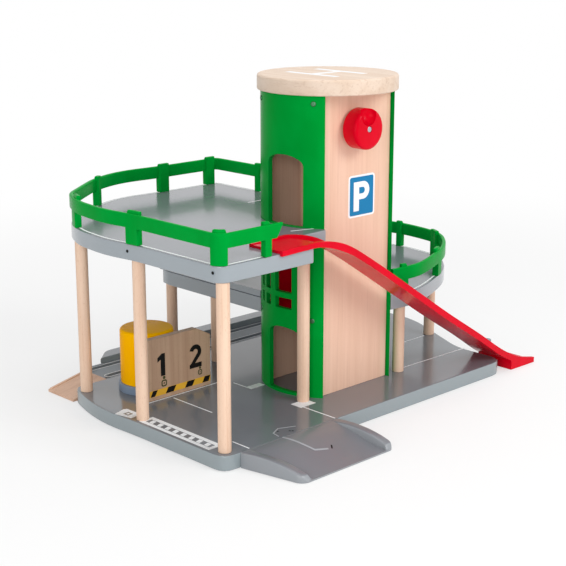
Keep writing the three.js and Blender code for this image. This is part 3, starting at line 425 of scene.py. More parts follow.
def subtract(made, cutter_mesh):
    """Cuts a mesh out of a piece for good."""
    cutter = bpy.data.objects.new("cutter", cutter_mesh)
    COLLECTION.objects.link(cutter)
    modifier = made.modifiers.new("cut", "BOOLEAN")
    modifier.operation = "DIFFERENCE"
    modifier.solver = "EXACT"
    modifier.object = cutter
    bpy.context.view_layer.update()
    graph = bpy.context.evaluated_depsgraph_get()
    cut = bpy.data.meshes.new_from_object(made.evaluated_get(graph))
    made.modifiers.remove(modifier)
    bpy.data.objects.remove(cutter)
    finish = made.data.materials[0]
    made.data = cut
    made.data.materials.clear()
    made.data.materials.append(finish)
    made.data.shade_smooth()
    made.data.set_sharp_from_angle(angle=math.radians(SHARP_DEG))


def middle(node):
    """A CAD node's middle in millimetres."""
    low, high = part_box(node)
    return (low + high) / 2 / MM


def edges(node):
    """A CAD node's lowest and highest corners in millimetres."""
    low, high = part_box(node)
    return low / MM, high / MM


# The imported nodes' finish: materials and soft edges, with their shapes as packed

WELD_MM, FLAT_DEG = 0.02, 0.6
EDGE_MM, EDGE_SEGMENTS, EDGE_DEG = 0.45, 2, 38

for node_name, node_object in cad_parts.items():
    node_object.data.materials.clear()
    node_object.data.materials.append(finish_for(node_name))
    node_object.data.shade_smooth()
    weld = node_object.modifiers.new("weld", "WELD")
    weld.merge_threshold = WELD_MM * MM
    flat = node_object.modifiers.new("flat faces", "DECIMATE")
    flat.decimate_type = "DISSOLVE"
    flat.angle_limit = math.radians(FLAT_DEG)
    bevel(node_object, EDGE_MM, EDGE_SEGMENTS, EDGE_DEG)
    even = node_object.modifiers.new("even shading", "WEIGHTED_NORMAL")
    even.weight = 100
    even.keep_sharp = True


# Posts, roof, drum, knob

def radius_of(node):
    low, high = edges(node)
    return (high.x - low.x) / 2


def upright(node, sides, *rounds, top=None):
    """A turned body with rounded edges in the place of an upright round CAD node."""
    low, high = edges(node)
    at = middle(node)
    profile = disc_profile(radius_of(node), low.z, high.z if top is None else top, *rounds)
    return turned(profile, sides, at.x, at.y)


for post_name in [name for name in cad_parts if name.startswith("post_")]:
    dowel = piece(post_name + "_dowel", upright(post_name, 48, 0.6, 0.6, 4), DOWEL_WOOD)
    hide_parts(post_name)

ROOF_TOP = edges("roof_disc")[1].z - MARK_T / 2
roof = piece("roof_board", upright("roof_disc", 160, 1.4, 2.2, 8, top=ROOF_TOP), ROOF_WOOD)
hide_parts("roof_disc")

plinth = piece("drum_foot", upright("drum_plinth", 96, 0.4, 1.0), PLINTH_PLASTIC)
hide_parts("drum_plinth")
drum = piece("drum_shell", upright("drum_body", 96, 0.5, 2.6, 8), YELLOW_PLASTIC)
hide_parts("drum_body")

# The knob has a deep finger dish that breaks through its rim, and holes for its screw and shaft
DISH_R, DISH_IN, DISH_LEFT, DISH_UP, DISH_STEPS = 9.2, 8.2, 1.5, 12.3, 24
HOLE_PLAY = 0.3
SCREW_SEAT_IN, SCREW_SEAT_LENGTH, SHAFT_HOLE_LENGTH = 1.4, 8, 20
knob_at = middle("crank_knob")
KNOB_FRONT, KNOB_BACK = (corner.y for corner in edges("crank_knob"))


def along_knob(profile, sides, y, left=0.0, up=0.0):
    """A turned body on a line beside the knob's axis, running forward from y."""
    return turned(profile, sides, knob_at.x - left, y, knob_at.z + up, "-y")


knob_profile = disc_profile(radius_of("crank_knob"), 0, KNOB_BACK - KNOB_FRONT, 3.0, 3.2, 8)
knob = piece("knob_disc", along_knob(knob_profile, 96, KNOB_BACK), RED_PLASTIC, "crank")
ball = [(DISH_R * math.sin(math.pi * i / DISH_STEPS), -DISH_R * math.cos(math.pi * i / DISH_STEPS))
        for i in range(DISH_STEPS + 1)]
subtract(knob, along_knob(ball, 48, KNOB_FRONT - DISH_R + DISH_IN, DISH_LEFT, DISH_UP))
screw_seat = plain_profile(radius_of("knob_screw") + HOLE_PLAY, SCREW_SEAT_LENGTH)
subtract(knob, along_knob(screw_seat, 40, KNOB_FRONT + SCREW_SEAT_IN))
shaft_hole = plain_profile(radius_of("crank_shaft") + HOLE_PLAY, SHAFT_HOLE_LENGTH)
shaft_front = edges("crank_shaft")[0].y
subtract(knob, along_knob(shaft_hole, 40, shaft_front - HOLE_PLAY + SHAFT_HOLE_LENGTH))
bevel(knob, 0.35, 2, 30)
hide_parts("crank_knob")


# Screws

def plus(radius, width):
    """A cross's outline."""
    h = width / 2
    return [(-h, -radius), (h, -radius), (h, -h), (radius, -h), (radius, h), (h, h),
            (h, radius), (-h, radius), (-h, h), (-radius, h), (-radius, -h), (-h, -h)]


def screw_head(name, place, normal, radius, finish):
    """A pan head with a cross recess, its flat back on the surface at place."""
    height = radius * 0.45
    head = turned(disc_profile(radius, 0, height, 0.05, height * 0.75, 5), 36, 0, 0)
    made = piece(name, head, finish)
    recess = cut_outline([plus(radius * 0.62, radius * 0.3)], height)
    recess.transform(Matrix.Translation((0, 0, height * MM)))
    subtract(made, recess)
    turn = Vector((0, 0, 1)).rotation_difference(Vector(normal).normalized()).to_matrix().to_4x4()
    made.data.transform(Matrix.Translation(Vector(place) * MM) @ turn)


SHELL_R = -edges("tower_left_shell")[0].x
SHELL_SCREW_DEG, SHELL_SCREW_R, SHELL_SCREW_SUNK = 32.6, 2.3, 0.15
SHELL_SCREW_LEVELS = (("low", 85.0), ("high", 276.5))
for side, across in (("left", -1), ("right", 1)):
    for depth_name, depth in (("front", -1), ("back", 1)):
        angle = math.radians(SHELL_SCREW_DEG)
        normal = (across * math.cos(angle), depth * math.sin(angle), 0)
        reach = SHELL_R - SHELL_SCREW_SUNK
        for level, height in SHELL_SCREW_LEVELS:
            screw_head("shell_screw_%s_%s_%s" % (side, depth_name, level),
                       (normal[0] * reach, normal[1] * reach, height), normal, SHELL_SCREW_R, GREEN_STEEL)


# The lattice window's last column toward the front is closed in the photo
STRIP_OUTER_R, STRIP_INNER_R = SHELL_R + 0.1, SHELL_R - 4.4
strip_arc = [math.asin(y / STRIP_OUTER_R) for y in (-39, -37.8, -36.6, -35.4, -34.2, -33, -31.8)]
strip_slice = [(-STRIP_OUTER_R * math.cos(a), STRIP_OUTER_R * math.sin(a)) for a in strip_arc]
strip_slice += [(-STRIP_INNER_R * math.cos(a), STRIP_INNER_R * math.sin(a)) for a in reversed(strip_arc)]
strip_rings = [[(x, y, z) for x, y in strip_slice] for z in (91.4, 118, 146.4)]
piece("window_front_strip", loft(strip_rings), GREEN_PLASTIC)


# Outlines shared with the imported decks: each corner has its shares of the reach in x and y, and how much
# of its shorter side it rounds off

UPPER_REACH = {"left": 206, "right": 38, "front": 81.5, "back": 200}
UPPER_SHARES = [
    (-0.945, -1, 0.5), (-0.476, -1, 0.05), (-0.476, -0.538, 0.05), (-0.22, -0.538, 0.05),
    (-0.1, 0, 0), (1, 0, 0), (1, 0.98, 0.1), (-0.2, 0.98, 0.3), (-0.408, 1, 0.5), (-0.607, 0.925, 0.5),
    (-0.893, 0.70, 0.3), (-0.971, 0.54, 0.5), (-1, 0.30, 0.5), (-0.976, 0.13, 0.2), (-0.976, -0.92, 0.5),
]
MID_REACH = {"left": 46.5, "right": 211, "front": 43, "back": 194}
MID_SHARES = [
    (-1, 0, 0), (0.1, 0, 0), (0.213, -0.95, 0.05), (0.30, -1, 0.5), (0.38, -1, 0.5),
    (0.464, -0.88, 0.5), (0.573, -0.67, 0.5), (0.706, -0.38, 0.5), (0.816, -0.01, 0.5),
    (0.916, 0.107, 0.5), (0.96, 0.193, 0.5), (0.979, 0.304, 0.5), (0.99, 0.433, 0.5),
    (0.978, 0.54, 0.5), (0.942, 0.67, 0.5), (0.872, 0.80, 0.5), (0.758, 0.907, 0.5),
    (0.616, 0.974, 0.5), (0.464, 1, 0.3), (-1, 1, 0.15),
]


def place_of(share_x, share_y, reach):
    """A place in millimetres from its shares of a deck's reach."""
    return Vector((share_x * reach["left" if share_x < 0 else "right"],
                   share_y * reach["front" if share_y < 0 else "back"]))


# Steps round a corner, how near two points count as one, and the length of a step along a run
CORNER_STEPS, SAME_PLACE, RUN_STEP = 10, 0.05, 12


def outline_of(shares, reach):
    """A deck's outline with its corners rounded by quadratic curves."""
    corners = [(place_of(sx, sy, reach), turn) for sx, sy, turn in shares]
    points = []
    for i, (here, turn) in enumerate(corners):
        before, after = corners[i - 1][0], corners[(i + 1) % len(corners)][0]
        cut = turn * min((before - here).length, (after - here).length)
        if cut <= 0:
            points.append(here)
            continue
        start = here + (before - here).normalized() * cut
        end = here + (after - here).normalized() * cut
        for k in range(CORNER_STEPS + 1):
            t = k / CORNER_STEPS
            point = start * (1 - t) ** 2 + here * 2 * t * (1 - t) + end * t ** 2
            if not points or (points[-1] - point).length > SAME_PLACE:
                points.append(point)
    if (points[0] - points[-1]).length < SAME_PLACE:
        points.pop()
    return points


def stretch(outline, start_at, end_at, forward):
    """The stretch of a closed outline between the points nearest two places."""
    dense = []
    for i, p in enumerate(outline):
        q = outline[(i + 1) % len(outline)]
        steps = max(1, round((q - p).length / RUN_STEP))
        dense += [p.lerp(q, k / steps) for k in range(steps)]
    start = min(range(len(dense)), key=lambda i: (dense[i] - start_at).length)
    end = min(range(len(dense)), key=lambda i: (dense[i] - end_at).length)
    step = 1 if forward else -1
    run = [dense[start]]
    at_index = start
    while at_index != end:
        at_index = (at_index + step) % len(dense)
        run.append(dense[at_index])
    return run


UPPER_OUTLINE = outline_of(UPPER_SHARES, UPPER_REACH)
MID_OUTLINE = outline_of(MID_SHARES, MID_REACH)

# The stretch of each outline that a railing follows
UPPER_RUN = stretch(UPPER_OUTLINE, place_of(-0.665, -1, UPPER_REACH), place_of(1, 0.33, UPPER_REACH), False)
MID_RUN = stretch(MID_OUTLINE, place_of(0.228, -0.96, MID_REACH), place_of(0.3, 1, MID_REACH), True)
UPPER_TOP = edges("upper_deck")[1].z
MID_TOP = edges("mid_deck")[1].z
BASE_TOP = edges("base_board")[1].z


# Railings

RAIL_T, RAIL_POST_T, RAIL_RISE, RAIL_SLANT, RAIL_INSET = 3.8, 6.2, 2.4, 0.6, -0.78
RAIL_EDGE, RAIL_FOOT_EDGE, RAIL_CAP_EDGE, RAIL_CAP_BACK, RAIL_CAP_INNER = 1.3, 0.5, 0.6, 0.9, 0.9
POST_FOOT_LIFT, STATION_GAP, LENGTH_SLACK = 0.4, 1.4, 1e-6
# How much of a post each place on its flank is, from none to all
POST_FLANK = [(0.0, 0.0), (0.12, 0.45), (0.35, 0.75), (0.8, 1.0)]
UPPER_RAIL = {"top": 25.8, "band": 11.8}
MID_RAIL = {"top": 25, "band": 12.2}

# Each rail post's shares of the deck's reach, and its width
UPPER_POSTS = [(-0.728, -1, 7), (-0.965, -0.955, 14), (-0.976, 0.135, 14), (-0.947, 0.59, 12),
               (-0.607, 0.925, 7), (-0.165, 0.98, 12), (0.7, 0.98, 12), (1, 0.645, 7), (1, 0.35, 7)]
MID_POSTS = [(0.294, -1, 7), (0.65, -0.5, 12), (0.943, 0.17, 14), (0.99, 0.464, 7), (0.93, 0.71, 7),
             (0.65, 0.96, 12), (0.33, 1, 7)]


def rail_section(thickness, low, shoulder, top):
    """A rounded bar's (offset, height) points, always the same count; a post's cap is set back."""
    outer, inner = RAIL_INSET, RAIL_INSET + thickness
    ridge = outer + RAIL_EDGE + RAIL_CAP_BACK
    cap_edge = RAIL_CAP_EDGE if top > shoulder else 0.0

    def corner(centre_off, centre_z, turn, radius):
        return [(centre_off + radius * math.cos(math.pi / 2 * (turn + i / 4)),
                 centre_z + radius * math.sin(math.pi / 2 * (turn + i / 4))) for i in range(5)]

    inner_edge = RAIL_CAP_INNER if cap_edge else RAIL_EDGE
    section = corner(inner - inner_edge, top - inner_edge, 0, inner_edge)
    section += [(ridge + cap_edge, top), (ridge, top - cap_edge), (ridge - 0.1, shoulder)]
    section += corner(outer + RAIL_EDGE, shoulder - RAIL_EDGE, 1, RAIL_EDGE)
    section += corner(outer + RAIL_FOOT_EDGE, low + RAIL_FOOT_EDGE, 2, RAIL_FOOT_EDGE)
    section += corner(inner - RAIL_FOOT_EDGE, low + RAIL_FOOT_EDGE, 3, RAIL_FOOT_EDGE)
    return section


def railing(name, run, deck_top, rail, posts, reach, sign, slant):
    """One bar along the run that thickens inward and reaches the deck at each post."""
    lengths = [0.0]
    for before, here in zip(run, run[1:]):
        lengths.append(lengths[-1] + (here - before).length)
    sides = sides_of(run, sign)
    top = deck_top + rail["top"]

    def length_near(place):
        """How far along the run its nearest point to a place is."""
        found = []
        for i, (before, here) in enumerate(zip(run, run[1:])):
            edge = here - before
            t = min(1.0, max(0.0, (place - before).dot(edge) / edge.length_squared))
            found.append(((before + edge * t - place).length, lengths[i] + edge.length * t))
        return min(found)[1]

    stations, spans = [], []
    for share_x, share_y, width in posts:
        at_length = length_near(place_of(share_x, share_y, reach))
        start, end = max(0.0, at_length - width / 2), min(lengths[-1], at_length + width / 2)
        spans.append((start, end))
        stations += [(start + ease, amount) for ease, amount in POST_FLANK]
        stations += [(end - ease, amount) for ease, amount in POST_FLANK]
    for length in lengths:
        if all(min(abs(length - start), abs(length - end)) > STATION_GAP for start, end in spans):
            stations.append((length, 1.0 if any(start < length < end for start, end in spans) else 0.0))
    rings = []
    for length, amount in sorted(stations):
        i = max(1, next(i for i, reached in enumerate(lengths) if reached >= length - LENGTH_SLACK))
        t = (length - lengths[i - 1]) / (lengths[i] - lengths[i - 1])
        place, side = run[i - 1].lerp(run[i], t), sides[i - 1].lerp(sides[i], t)
        along = (run[i] - run[i - 1]).normalized()
        lean = RAIL_SLANT if slant and length == 0 else 0
        thickness = RAIL_T + (RAIL_POST_T - RAIL_T) * amount
        low = top - rail["band"] if amount == 0 else deck_top + POST_FOOT_LIFT * (1 - amount)
        high = top + RAIL_RISE * amount
        rings.append([(place.x + side.x * off + along.x * (top - z) * lean,
                       place.y + side.y * off + along.y * (top - z) * lean, z)
                      for off, z in rail_section(thickness, low, top, high)])
    return piece(name, loft(rings), GREEN_PLASTIC, sharp_deg=50)


upper_rail = railing("upper_rail_band", UPPER_RUN, UPPER_TOP, UPPER_RAIL, UPPER_POSTS, UPPER_REACH,
                     -1, True)
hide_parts("upper_railing")
mid_rail = railing("mid_rail_band", MID_RUN, MID_TOP, MID_RAIL, MID_POSTS, MID_REACH, 1, False)
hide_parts("mid_railing")


# Slide

SLIDE_NEAR, SLIDE_TOP_W, SLIDE_MID_W, SLIDE_FOOT_W = 84.5, 39.5, 35, 48
SLIDE_START, SLIDE_END, SLIDE_FOOT_START = -137, 213, 175.8
SLIDE_DECK_END = -(206 * 0.476 - 0.3)  # just inside the upper deck's notch
SLIDE_FULL_RIM = -60
SLIDE_STEPS = 150
RIM_W, RIM_H, RIM_HEAD_H, FLOOR_T = 3, 7, 4.6, 2.2
HALVINGS = 24  # enough to find a place on a curve to far below a micrometre
SLIDE_LINE = [(-137, UPPER_TOP + 2.9), (-110, UPPER_TOP + 3.7), (-91, UPPER_TOP + 3.4), (-64.5, 165.8),
              (-33, 148.5), (34, 105.1), (77, 77.1), (123, 48.5), (155, 27.7), (173, 17.7), (190, 10.6),
              (213, 5.2)]


def rim_height(x):
    """Height of the rims' top along the slide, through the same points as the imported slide."""
    pts = SLIDE_LINE
    i = max(0, min(len(pts) - 2, sum(1 for p in pts[1:] if p[0] < x)))
    p0, p1, p2, p3 = pts[max(0, i - 1)], pts[i], pts[i + 1], pts[min(len(pts) - 1, i + 2)]

    def at(t, k):
        v0, v1 = (p2[k] - p0[k]) / 2, (p3[k] - p1[k]) / 2
        return ((2 * p1[k] - 2 * p2[k] + v0 + v1) * t ** 3 + (3 * p2[k] - 3 * p1[k] - 2 * v0 - v1) * t ** 2
                + v0 * t + p1[k])

    low_t, high_t = 0.0, 1.0
    for _ in range(HALVINGS):
        t = (low_t + high_t) / 2
        if at(t, 0) < x:
            low_t = t
        else:
            high_t = t
    return at((low_t + high_t) / 2, 1)


def smoothstep(x, low, high):
    t = min(1.0, max(0.0, (x - low) / (high - low)))
    return t * t * (3 - 2 * t)


def slide_edges(x):
    """The slide's near and far side at x: a neck under the deck's edge and a wider foot."""
    t = (x - SLIDE_START) / (SLIDE_END - SLIDE_START)
    flare = smoothstep(t, 0.8, 1)
    neck = smoothstep(t, 0.1, 0.3)
    width = SLIDE_TOP_W + (SLIDE_MID_W - SLIDE_TOP_W) * neck
    width += (SLIDE_FOOT_W - width) * flare
    near = -SLIDE_NEAR - flare
    return near, near + width


stations = [SLIDE_START + (SLIDE_END - SLIDE_START) * i / SLIDE_STEPS for i in range(SLIDE_STEPS + 1)]
stations += [SLIDE_DECK_END, SLIDE_DECK_END + FLOOR_T, SLIDE_FOOT_START - 0.3, SLIDE_FOOT_START]
slide_rings = []
for x in sorted(stations):
    rim = rim_height(x)
    near, far = slide_edges(x)
    on_floor = x >= SLIDE_FOOT_START
    rim_growth = (RIM_H - RIM_HEAD_H) * smoothstep(x, SLIDE_DECK_END, SLIDE_FULL_RIM)
    bottom = 0 if on_floor else rim - RIM_HEAD_H - rim_growth
    floor_bottom = UPPER_TOP + 0.1 if x <= SLIDE_DECK_END else bottom
    floor_top = min(rim / 2 if on_floor else floor_bottom + FLOOR_T, rim - 0.3)
    slide_rings.append([(x, y, z) for y, z in (
        (near, bottom), (near + RIM_W, bottom), (near + RIM_W, floor_bottom), (far, floor_bottom),
        (far, rim), (far - RIM_W, rim), (far - RIM_W, floor_top), (near + RIM_W, floor_top),
        (near + RIM_W, rim), (near, rim))])
slide = piece("slide_run", loft(slide_rings), RED_PLASTIC, sharp_deg=40)
bevel(slide, 0.7, 3, 50)
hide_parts("slide")


# Front ramp

RAMP_HEAD, RAMP_RUN = -84.8, 59
RAMP_FOOT = RAMP_HEAD - RAMP_RUN
RAMP_LEFT, RAMP_RIGHT = (-184, -171.6), (-70.5, -63.7)  # each side's x at the head and at the foot
RAMP_CORNER, RAMP_NOSE = 7, 3.4
KERB_W, KERB_SOFT, KERB_CREASE = 10, 1.6, 0.5
RAMP_BED = [(RAMP_HEAD, BASE_TOP), (RAMP_HEAD - 17.7, BASE_TOP), (RAMP_FOOT + 23.6, 3.6), (RAMP_FOOT, 1.2)]
RAMP_KERB = [(RAMP_HEAD, BASE_TOP), (RAMP_HEAD - 20.6, BASE_TOP + 1.2), (RAMP_FOOT + 20.6, BASE_TOP),
             (RAMP_FOOT + 1.2, 5)]


def height_on(curve, y):
    """Height of a falling cubic curve of (y, z) points at y."""
    if y >= curve[0][0]:
        return curve[0][1]

    def at(t, k):
        p0, p1, p2, p3 = (point[k] for point in curve)
        return p0 * (1 - t) ** 3 + 3 * p1 * t * (1 - t) ** 2 + 3 * p2 * t * t * (1 - t) + p3 * t ** 3

    low, high = 0.0, 1.0
    for _ in range(HALVINGS):
        t = (low + high) / 2
        if at(t, 0) > y:
            low = t
        else:
            high = t
    return at(t, 1)


def ramp_section(y):
    """A slice across the ramp: a rounded kerb, a crease, the bed, a crease and the other kerb."""
    t = (RAMP_HEAD - y) / RAMP_RUN
    into_corner = max(0.0, RAMP_FOOT + RAMP_CORNER - y)
    drawn_in = RAMP_CORNER - math.sqrt(max(0.0, RAMP_CORNER ** 2 - into_corner ** 2))
    left = RAMP_LEFT[0] + (RAMP_LEFT[1] - RAMP_LEFT[0]) * t + drawn_in
    right = RAMP_RIGHT[0] + (RAMP_RIGHT[1] - RAMP_RIGHT[0]) * t - drawn_in
    bed = height_on(RAMP_BED, y)
    nose = smoothstep(y, RAMP_FOOT, RAMP_FOOT + RAMP_NOSE)
    kerb = bed + (max(height_on(RAMP_KERB, y), bed) - bed) * nose
    rise = kerb - bed
    crease = min(KERB_CREASE, rise / 3)
    width = KERB_W * (1 - 0.35 * drawn_in / RAMP_CORNER)
    soft = min(KERB_SOFT, rise / 2)
    half = [(0, 0), (0, max(0.3, kerb - KERB_SOFT)), (0.5, kerb - 0.6), (1.4, kerb - 0.1), (2.6, kerb),
            (width - 3, kerb), (width - 2, kerb - 0.25 * soft), (width - 1.4, kerb - soft),
            (width - 1.1, bed + 0.1 * rise), (width - 0.8, bed - crease), (width + 0.4, bed)]
    return [(left + x, y, z) for x, z in half] + [(right - x, y, z) for x, z in reversed(half)]


RAMP_STEPS, RAMP_EVEN = 48, 45  # even slices, and closer ones at the foot
ramp_steps = [RAMP_HEAD - RAMP_RUN * i / RAMP_STEPS for i in range(RAMP_EVEN)]
ramp_steps += [RAMP_FOOT + ease for ease in (4.0, 3.2, 2.4, 1.7, 1.1, 0.6, 0.25, 0.05)]
ramp = piece("ramp_bed_and_kerbs", loft([ramp_section(y) for y in ramp_steps]), RAMP_LACQUER, sharp_deg=50)
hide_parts("front_ramp")


# Screw holes in the upper deck's edge

HOLE_SIDES, HOLE_SUNK = 24, 0.12
# The black pit disc is painted shade: it stands in for the dark inside of the screw hole.
HOLE_PARTS = (("ring", 2.0, GREY_PLASTIC, 0.16), ("painted_shade_pit", 1.35, BLACK_INK, 0.2))


def deck_screw(name, near, z):
    """A sunk screw in the upper deck's edge, at the outline's point nearest a place."""
    places = []
    for before, after in zip(UPPER_OUTLINE, UPPER_OUTLINE[1:] + UPPER_OUTLINE[:1]):
        along = after - before
        t = min(1.0, max(0.0, (near - before).dot(along) / along.length_squared))
        places.append(((before + along * t - near).length, tuple(before + along * t), tuple(along)))
    _, spot, along = min(places)
    normal = Vector((along[1], -along[0], 0)).normalized()
    turn = Vector((0, 0, 1)).rotation_difference(normal).to_matrix().to_4x4()
    seat = Matrix.Translation((Vector((spot[0], spot[1], z)) - normal * HOLE_SUNK) * MM) @ turn
    for part, radius, finish, top in HOLE_PARTS:
        disc = turned(plain_profile(radius, top), HOLE_SIDES, 0, 0)
        disc.transform(seat)
        piece("%s_%s" % (name, part), disc, finish)


deck_screw("deck_screw_left", Vector((-206, 32.5)), 162.2)
deck_screw("deck_screw_corner", Vector((-206, -74)), 162.7)


# Printed marks, and white strips along the deck edges that are painted highlights

DRAPE_STEP = 1.5


def draped(name, path, width, finish):
    """A painted line that follows the base and the ramp's bed."""
    points = [Vector(path[0])]
    for start, end in zip(path, path[1:]):
        start, end = Vector(start), Vector(end)
        count = max(1, round((end - start).length / DRAPE_STEP))
        points += [start.lerp(end, k / count) for k in range(1, count + 1)]
    rings = []
    for place, side in zip(points, sides_of(points, 1)):
        ends = [place - side * width / 2, place + side * width / 2]
        heights = [height_on(RAMP_BED, end.y) for end in ends]
        lifts = (-MARK_T / 2, -MARK_T / 2, MARK_T / 2, MARK_T / 2)
        rings.append([(end.x, end.y, height + lift) for end, height, lift in
                      zip(ends + ends[::-1], heights + heights[::-1], lifts)])
    piece(name, loft(rings), finish)


def strip(name, path, inset, width, z, sign=1):
    """A flat white line beside a path."""
    section = [(inset - width / 2, z - MARK_T / 2), (inset + width / 2, z - MARK_T / 2),
               (inset + width / 2, z + MARK_T / 2), (inset - width / 2, z + MARK_T / 2)]
    piece(name, sweep(path, section, sign), WHITE_INK)


# The white strips along both decks' edges are painted highlights: they stand in for the light caught by the
# decks' top edges.
EDGE_HIGHLIGHT_IN, EDGE_HIGHLIGHT_W = 3.6, 1.7
strip("upper_edge_painted_highlight", UPPER_RUN[1:-2], EDGE_HIGHLIGHT_IN, EDGE_HIGHLIGHT_W, UPPER_TOP, -1)
strip("mid_edge_painted_highlight", MID_RUN[1:-2], EDGE_HIGHLIGHT_IN, EDGE_HIGHLIGHT_W, MID_TOP)

DECK_LINE_W, BASE_LINE_W, LONG_LINE_W = 1.2, 1.3, 1.4
for index, ends in enumerate(((-71, -26, -49, -33), (-12, 93, 32, 93))):
    mark_on_top("deck_line_%d" % index, [line(*ends, DECK_LINE_W)], UPPER_TOP, WHITE_INK)

mark_on_top("helipad_mark", [
    [(-22.5, -30), (-15.5, -30), (-15.5, -2.5), (14.5, -2.5), (14.5, -28), (21.5, -28), (21.5, 32),
     (14.5, 32), (14.5, 4.5), (-15.5, 4.5), (-15.5, 32), (-22.5, 32)],
], ROOF_TOP, WHITE_INK)

base_lines = [
    line(-166, 57.8, -82, 57.8, BASE_LINE_W), line(-140, 53.6, -140, 1, BASE_LINE_W),
    line(-73.5, 47, -73.5, 30, BASE_LINE_W),
    rectangle(-74, -56.5, 22.5, 30), rectangle(-76, -57.5, -44.5, -31.5),
    line(-73, -44.5, -73, -83, BASE_LINE_W), line(-173, -62.7, -173, -83, BASE_LINE_W),
    line(72, -32.4, 166, -34.4, LONG_LINE_W), line(135, 21.5, 169, 21.5, BASE_LINE_W),
]
for index, loop in enumerate(base_lines):
    mark_on_top("base_line_%d" % index, [loop], BASE_TOP, WHITE_INK)

ZEBRA_BARS, ZEBRA_FIRST, ZEBRA_STEP = 8, -56.4, 10.2
zebra = [rectangle(-199, -184, -63, 28), rectangle(-195.2, -188.4, -59, 24)]
for row in range(ZEBRA_BARS):
    y = ZEBRA_FIRST + row * ZEBRA_STEP
    zebra.append([(-194.6, y), (-189, y + 1.6), (-189, y + 6.2), (-194.6, y + 4.6)])
mark_on_top("zebra_strip", zebra, BASE_TOP, WHITE_INK)
plate = [(-202.8, 56.7), (-199.6, 38.5), (-187, 40.5), (-187.6, 59.5), (-191, 60.8)]
plate_frame = [rectangle(-197.5, -191.5, 45.5, 52.5), rectangle(-195.9, -193.1, 47.6, 50.4)]
mark_on_top("square_plate", [plate] + plate_frame, BASE_TOP, WHITE_INK)

draped("arrow_head_right", [(-135.9, -72.1), (-125.7, -66.9), (-110.7, -73.1)], 1.1, GREY_INK)
draped("arrow_head_left", [(-135.9, -72.1), (-137.6, -80.6)], 1.1, GREY_INK)
draped("arrow_shaft", [(-136.6, -84), (-127.4, -112.7), (-115.8, -116.6)], 1.9, GREY_INK)
draped("arrow_tick", [(-109.4, -114), (-112.6, -117.8)], 1.3, BLACK_INK)
for index, (x, y) in enumerate(((-130, -71.4), (-122, -77.5), (-120.2, -79.3))):
    mark_on_top("arrow_dot_%d" % index, [arc(x, y, 0.9, 0, 345, 12)], BASE_TOP, BLACK_INK)

# A wooden rim along the far side of the track's bare part, which slopes down to the floor
TRACK_RIM_IN, TRACK_RIM_W, TRACK_RIM_H = 3.1, 2.8, 1.4
TRACK_RIM_TOP = BASE_TOP + 0.6
rim_near = edges("track_strip")[1].y - TRACK_RIM_IN
rim_far = rim_near + TRACK_RIM_W
rim_rings = []
for x, top in ((-189.4, 2.5), (-188, 3.6), (-139, TRACK_RIM_TOP), (-127, TRACK_RIM_TOP), (-126, BASE_TOP)):
    low = top - TRACK_RIM_H
    rim_rings.append([(x, rim_near, low), (x, rim_far, low), (x, rim_far, top), (x, rim_near, top)])
track_rim = piece("track_rim", loft(rim_rings), TRACK_WOOD)
bevel(track_rim, 0.3, 2, 40)

# Painted track: light lines along both grooves, round their left ends
TRACK_MID, GROOVE_SPREAD, GROOVE_W, GROOVE_START = 158, 13, 6, -144
GROOVE_LINE_IN, GROOVE_LINE_W = 0.8, 1.0
for side_name, side, line_end in (("near", -1, 190), ("far", 1, 160)):
    mid, half = TRACK_MID + side * GROOVE_SPREAD, GROOVE_W / 2
    path = [Vector((line_end, mid - half)), Vector((GROOVE_START, mid - half))]
    path += [Vector(p) for p in arc(GROOVE_START, mid, half, -90, -270, 14)][1:-1]
    path += [Vector((GROOVE_START, mid + half)), Vector((line_end, mid + half))]
    strip("groove_line_" + side_name, path, GROOVE_LINE_IN, GROOVE_LINE_W, BASE_TOP)

# Parking sign on the tower's front panel
PANEL_Y = edges("tower_front_panel")[0].y
sign_edge = rounded(-9.7, 24.4, 171.7, 209.7, 3.0)
sign_inner = rounded(-8.0, 22.7, 173.4, 208.0, 1.8)
mark_on_front("sign_border", [sign_edge, sign_inner], PANEL_Y, WHITE_INK)
bowl_outer = arc(9.4, 195.5, 8.0, -90, 90)
bowl_inner = arc(8.6, 195.5, 2.9, -90, 90)
letter = [(-2.9, 177.2), (4.1, 177.2), (4.1, 187.5)] + bowl_outer + [(-2.9, 203.5)]
counter = [(4.1, 192.6)] + bowl_inner + [(4.1, 198.4)]
mark_on_front("sign_field", [sign_inner, letter], PANEL_Y, BLUE_INK)
mark_on_front("sign_letter", [letter, counter], PANEL_Y, WHITE_INK)
mark_on_front("sign_counter", [counter], PANEL_Y, BLUE_INK)

# Numbers, small signs and a hazard band on the bay divider
BOARD_Y = edges("bay_divider")[0].y


def moved(loop, dx, dz, scale=1.0):
    """A loop at its place and size on the board."""
    return [(x * scale + dx, z * scale + dz) for x, z in loop]


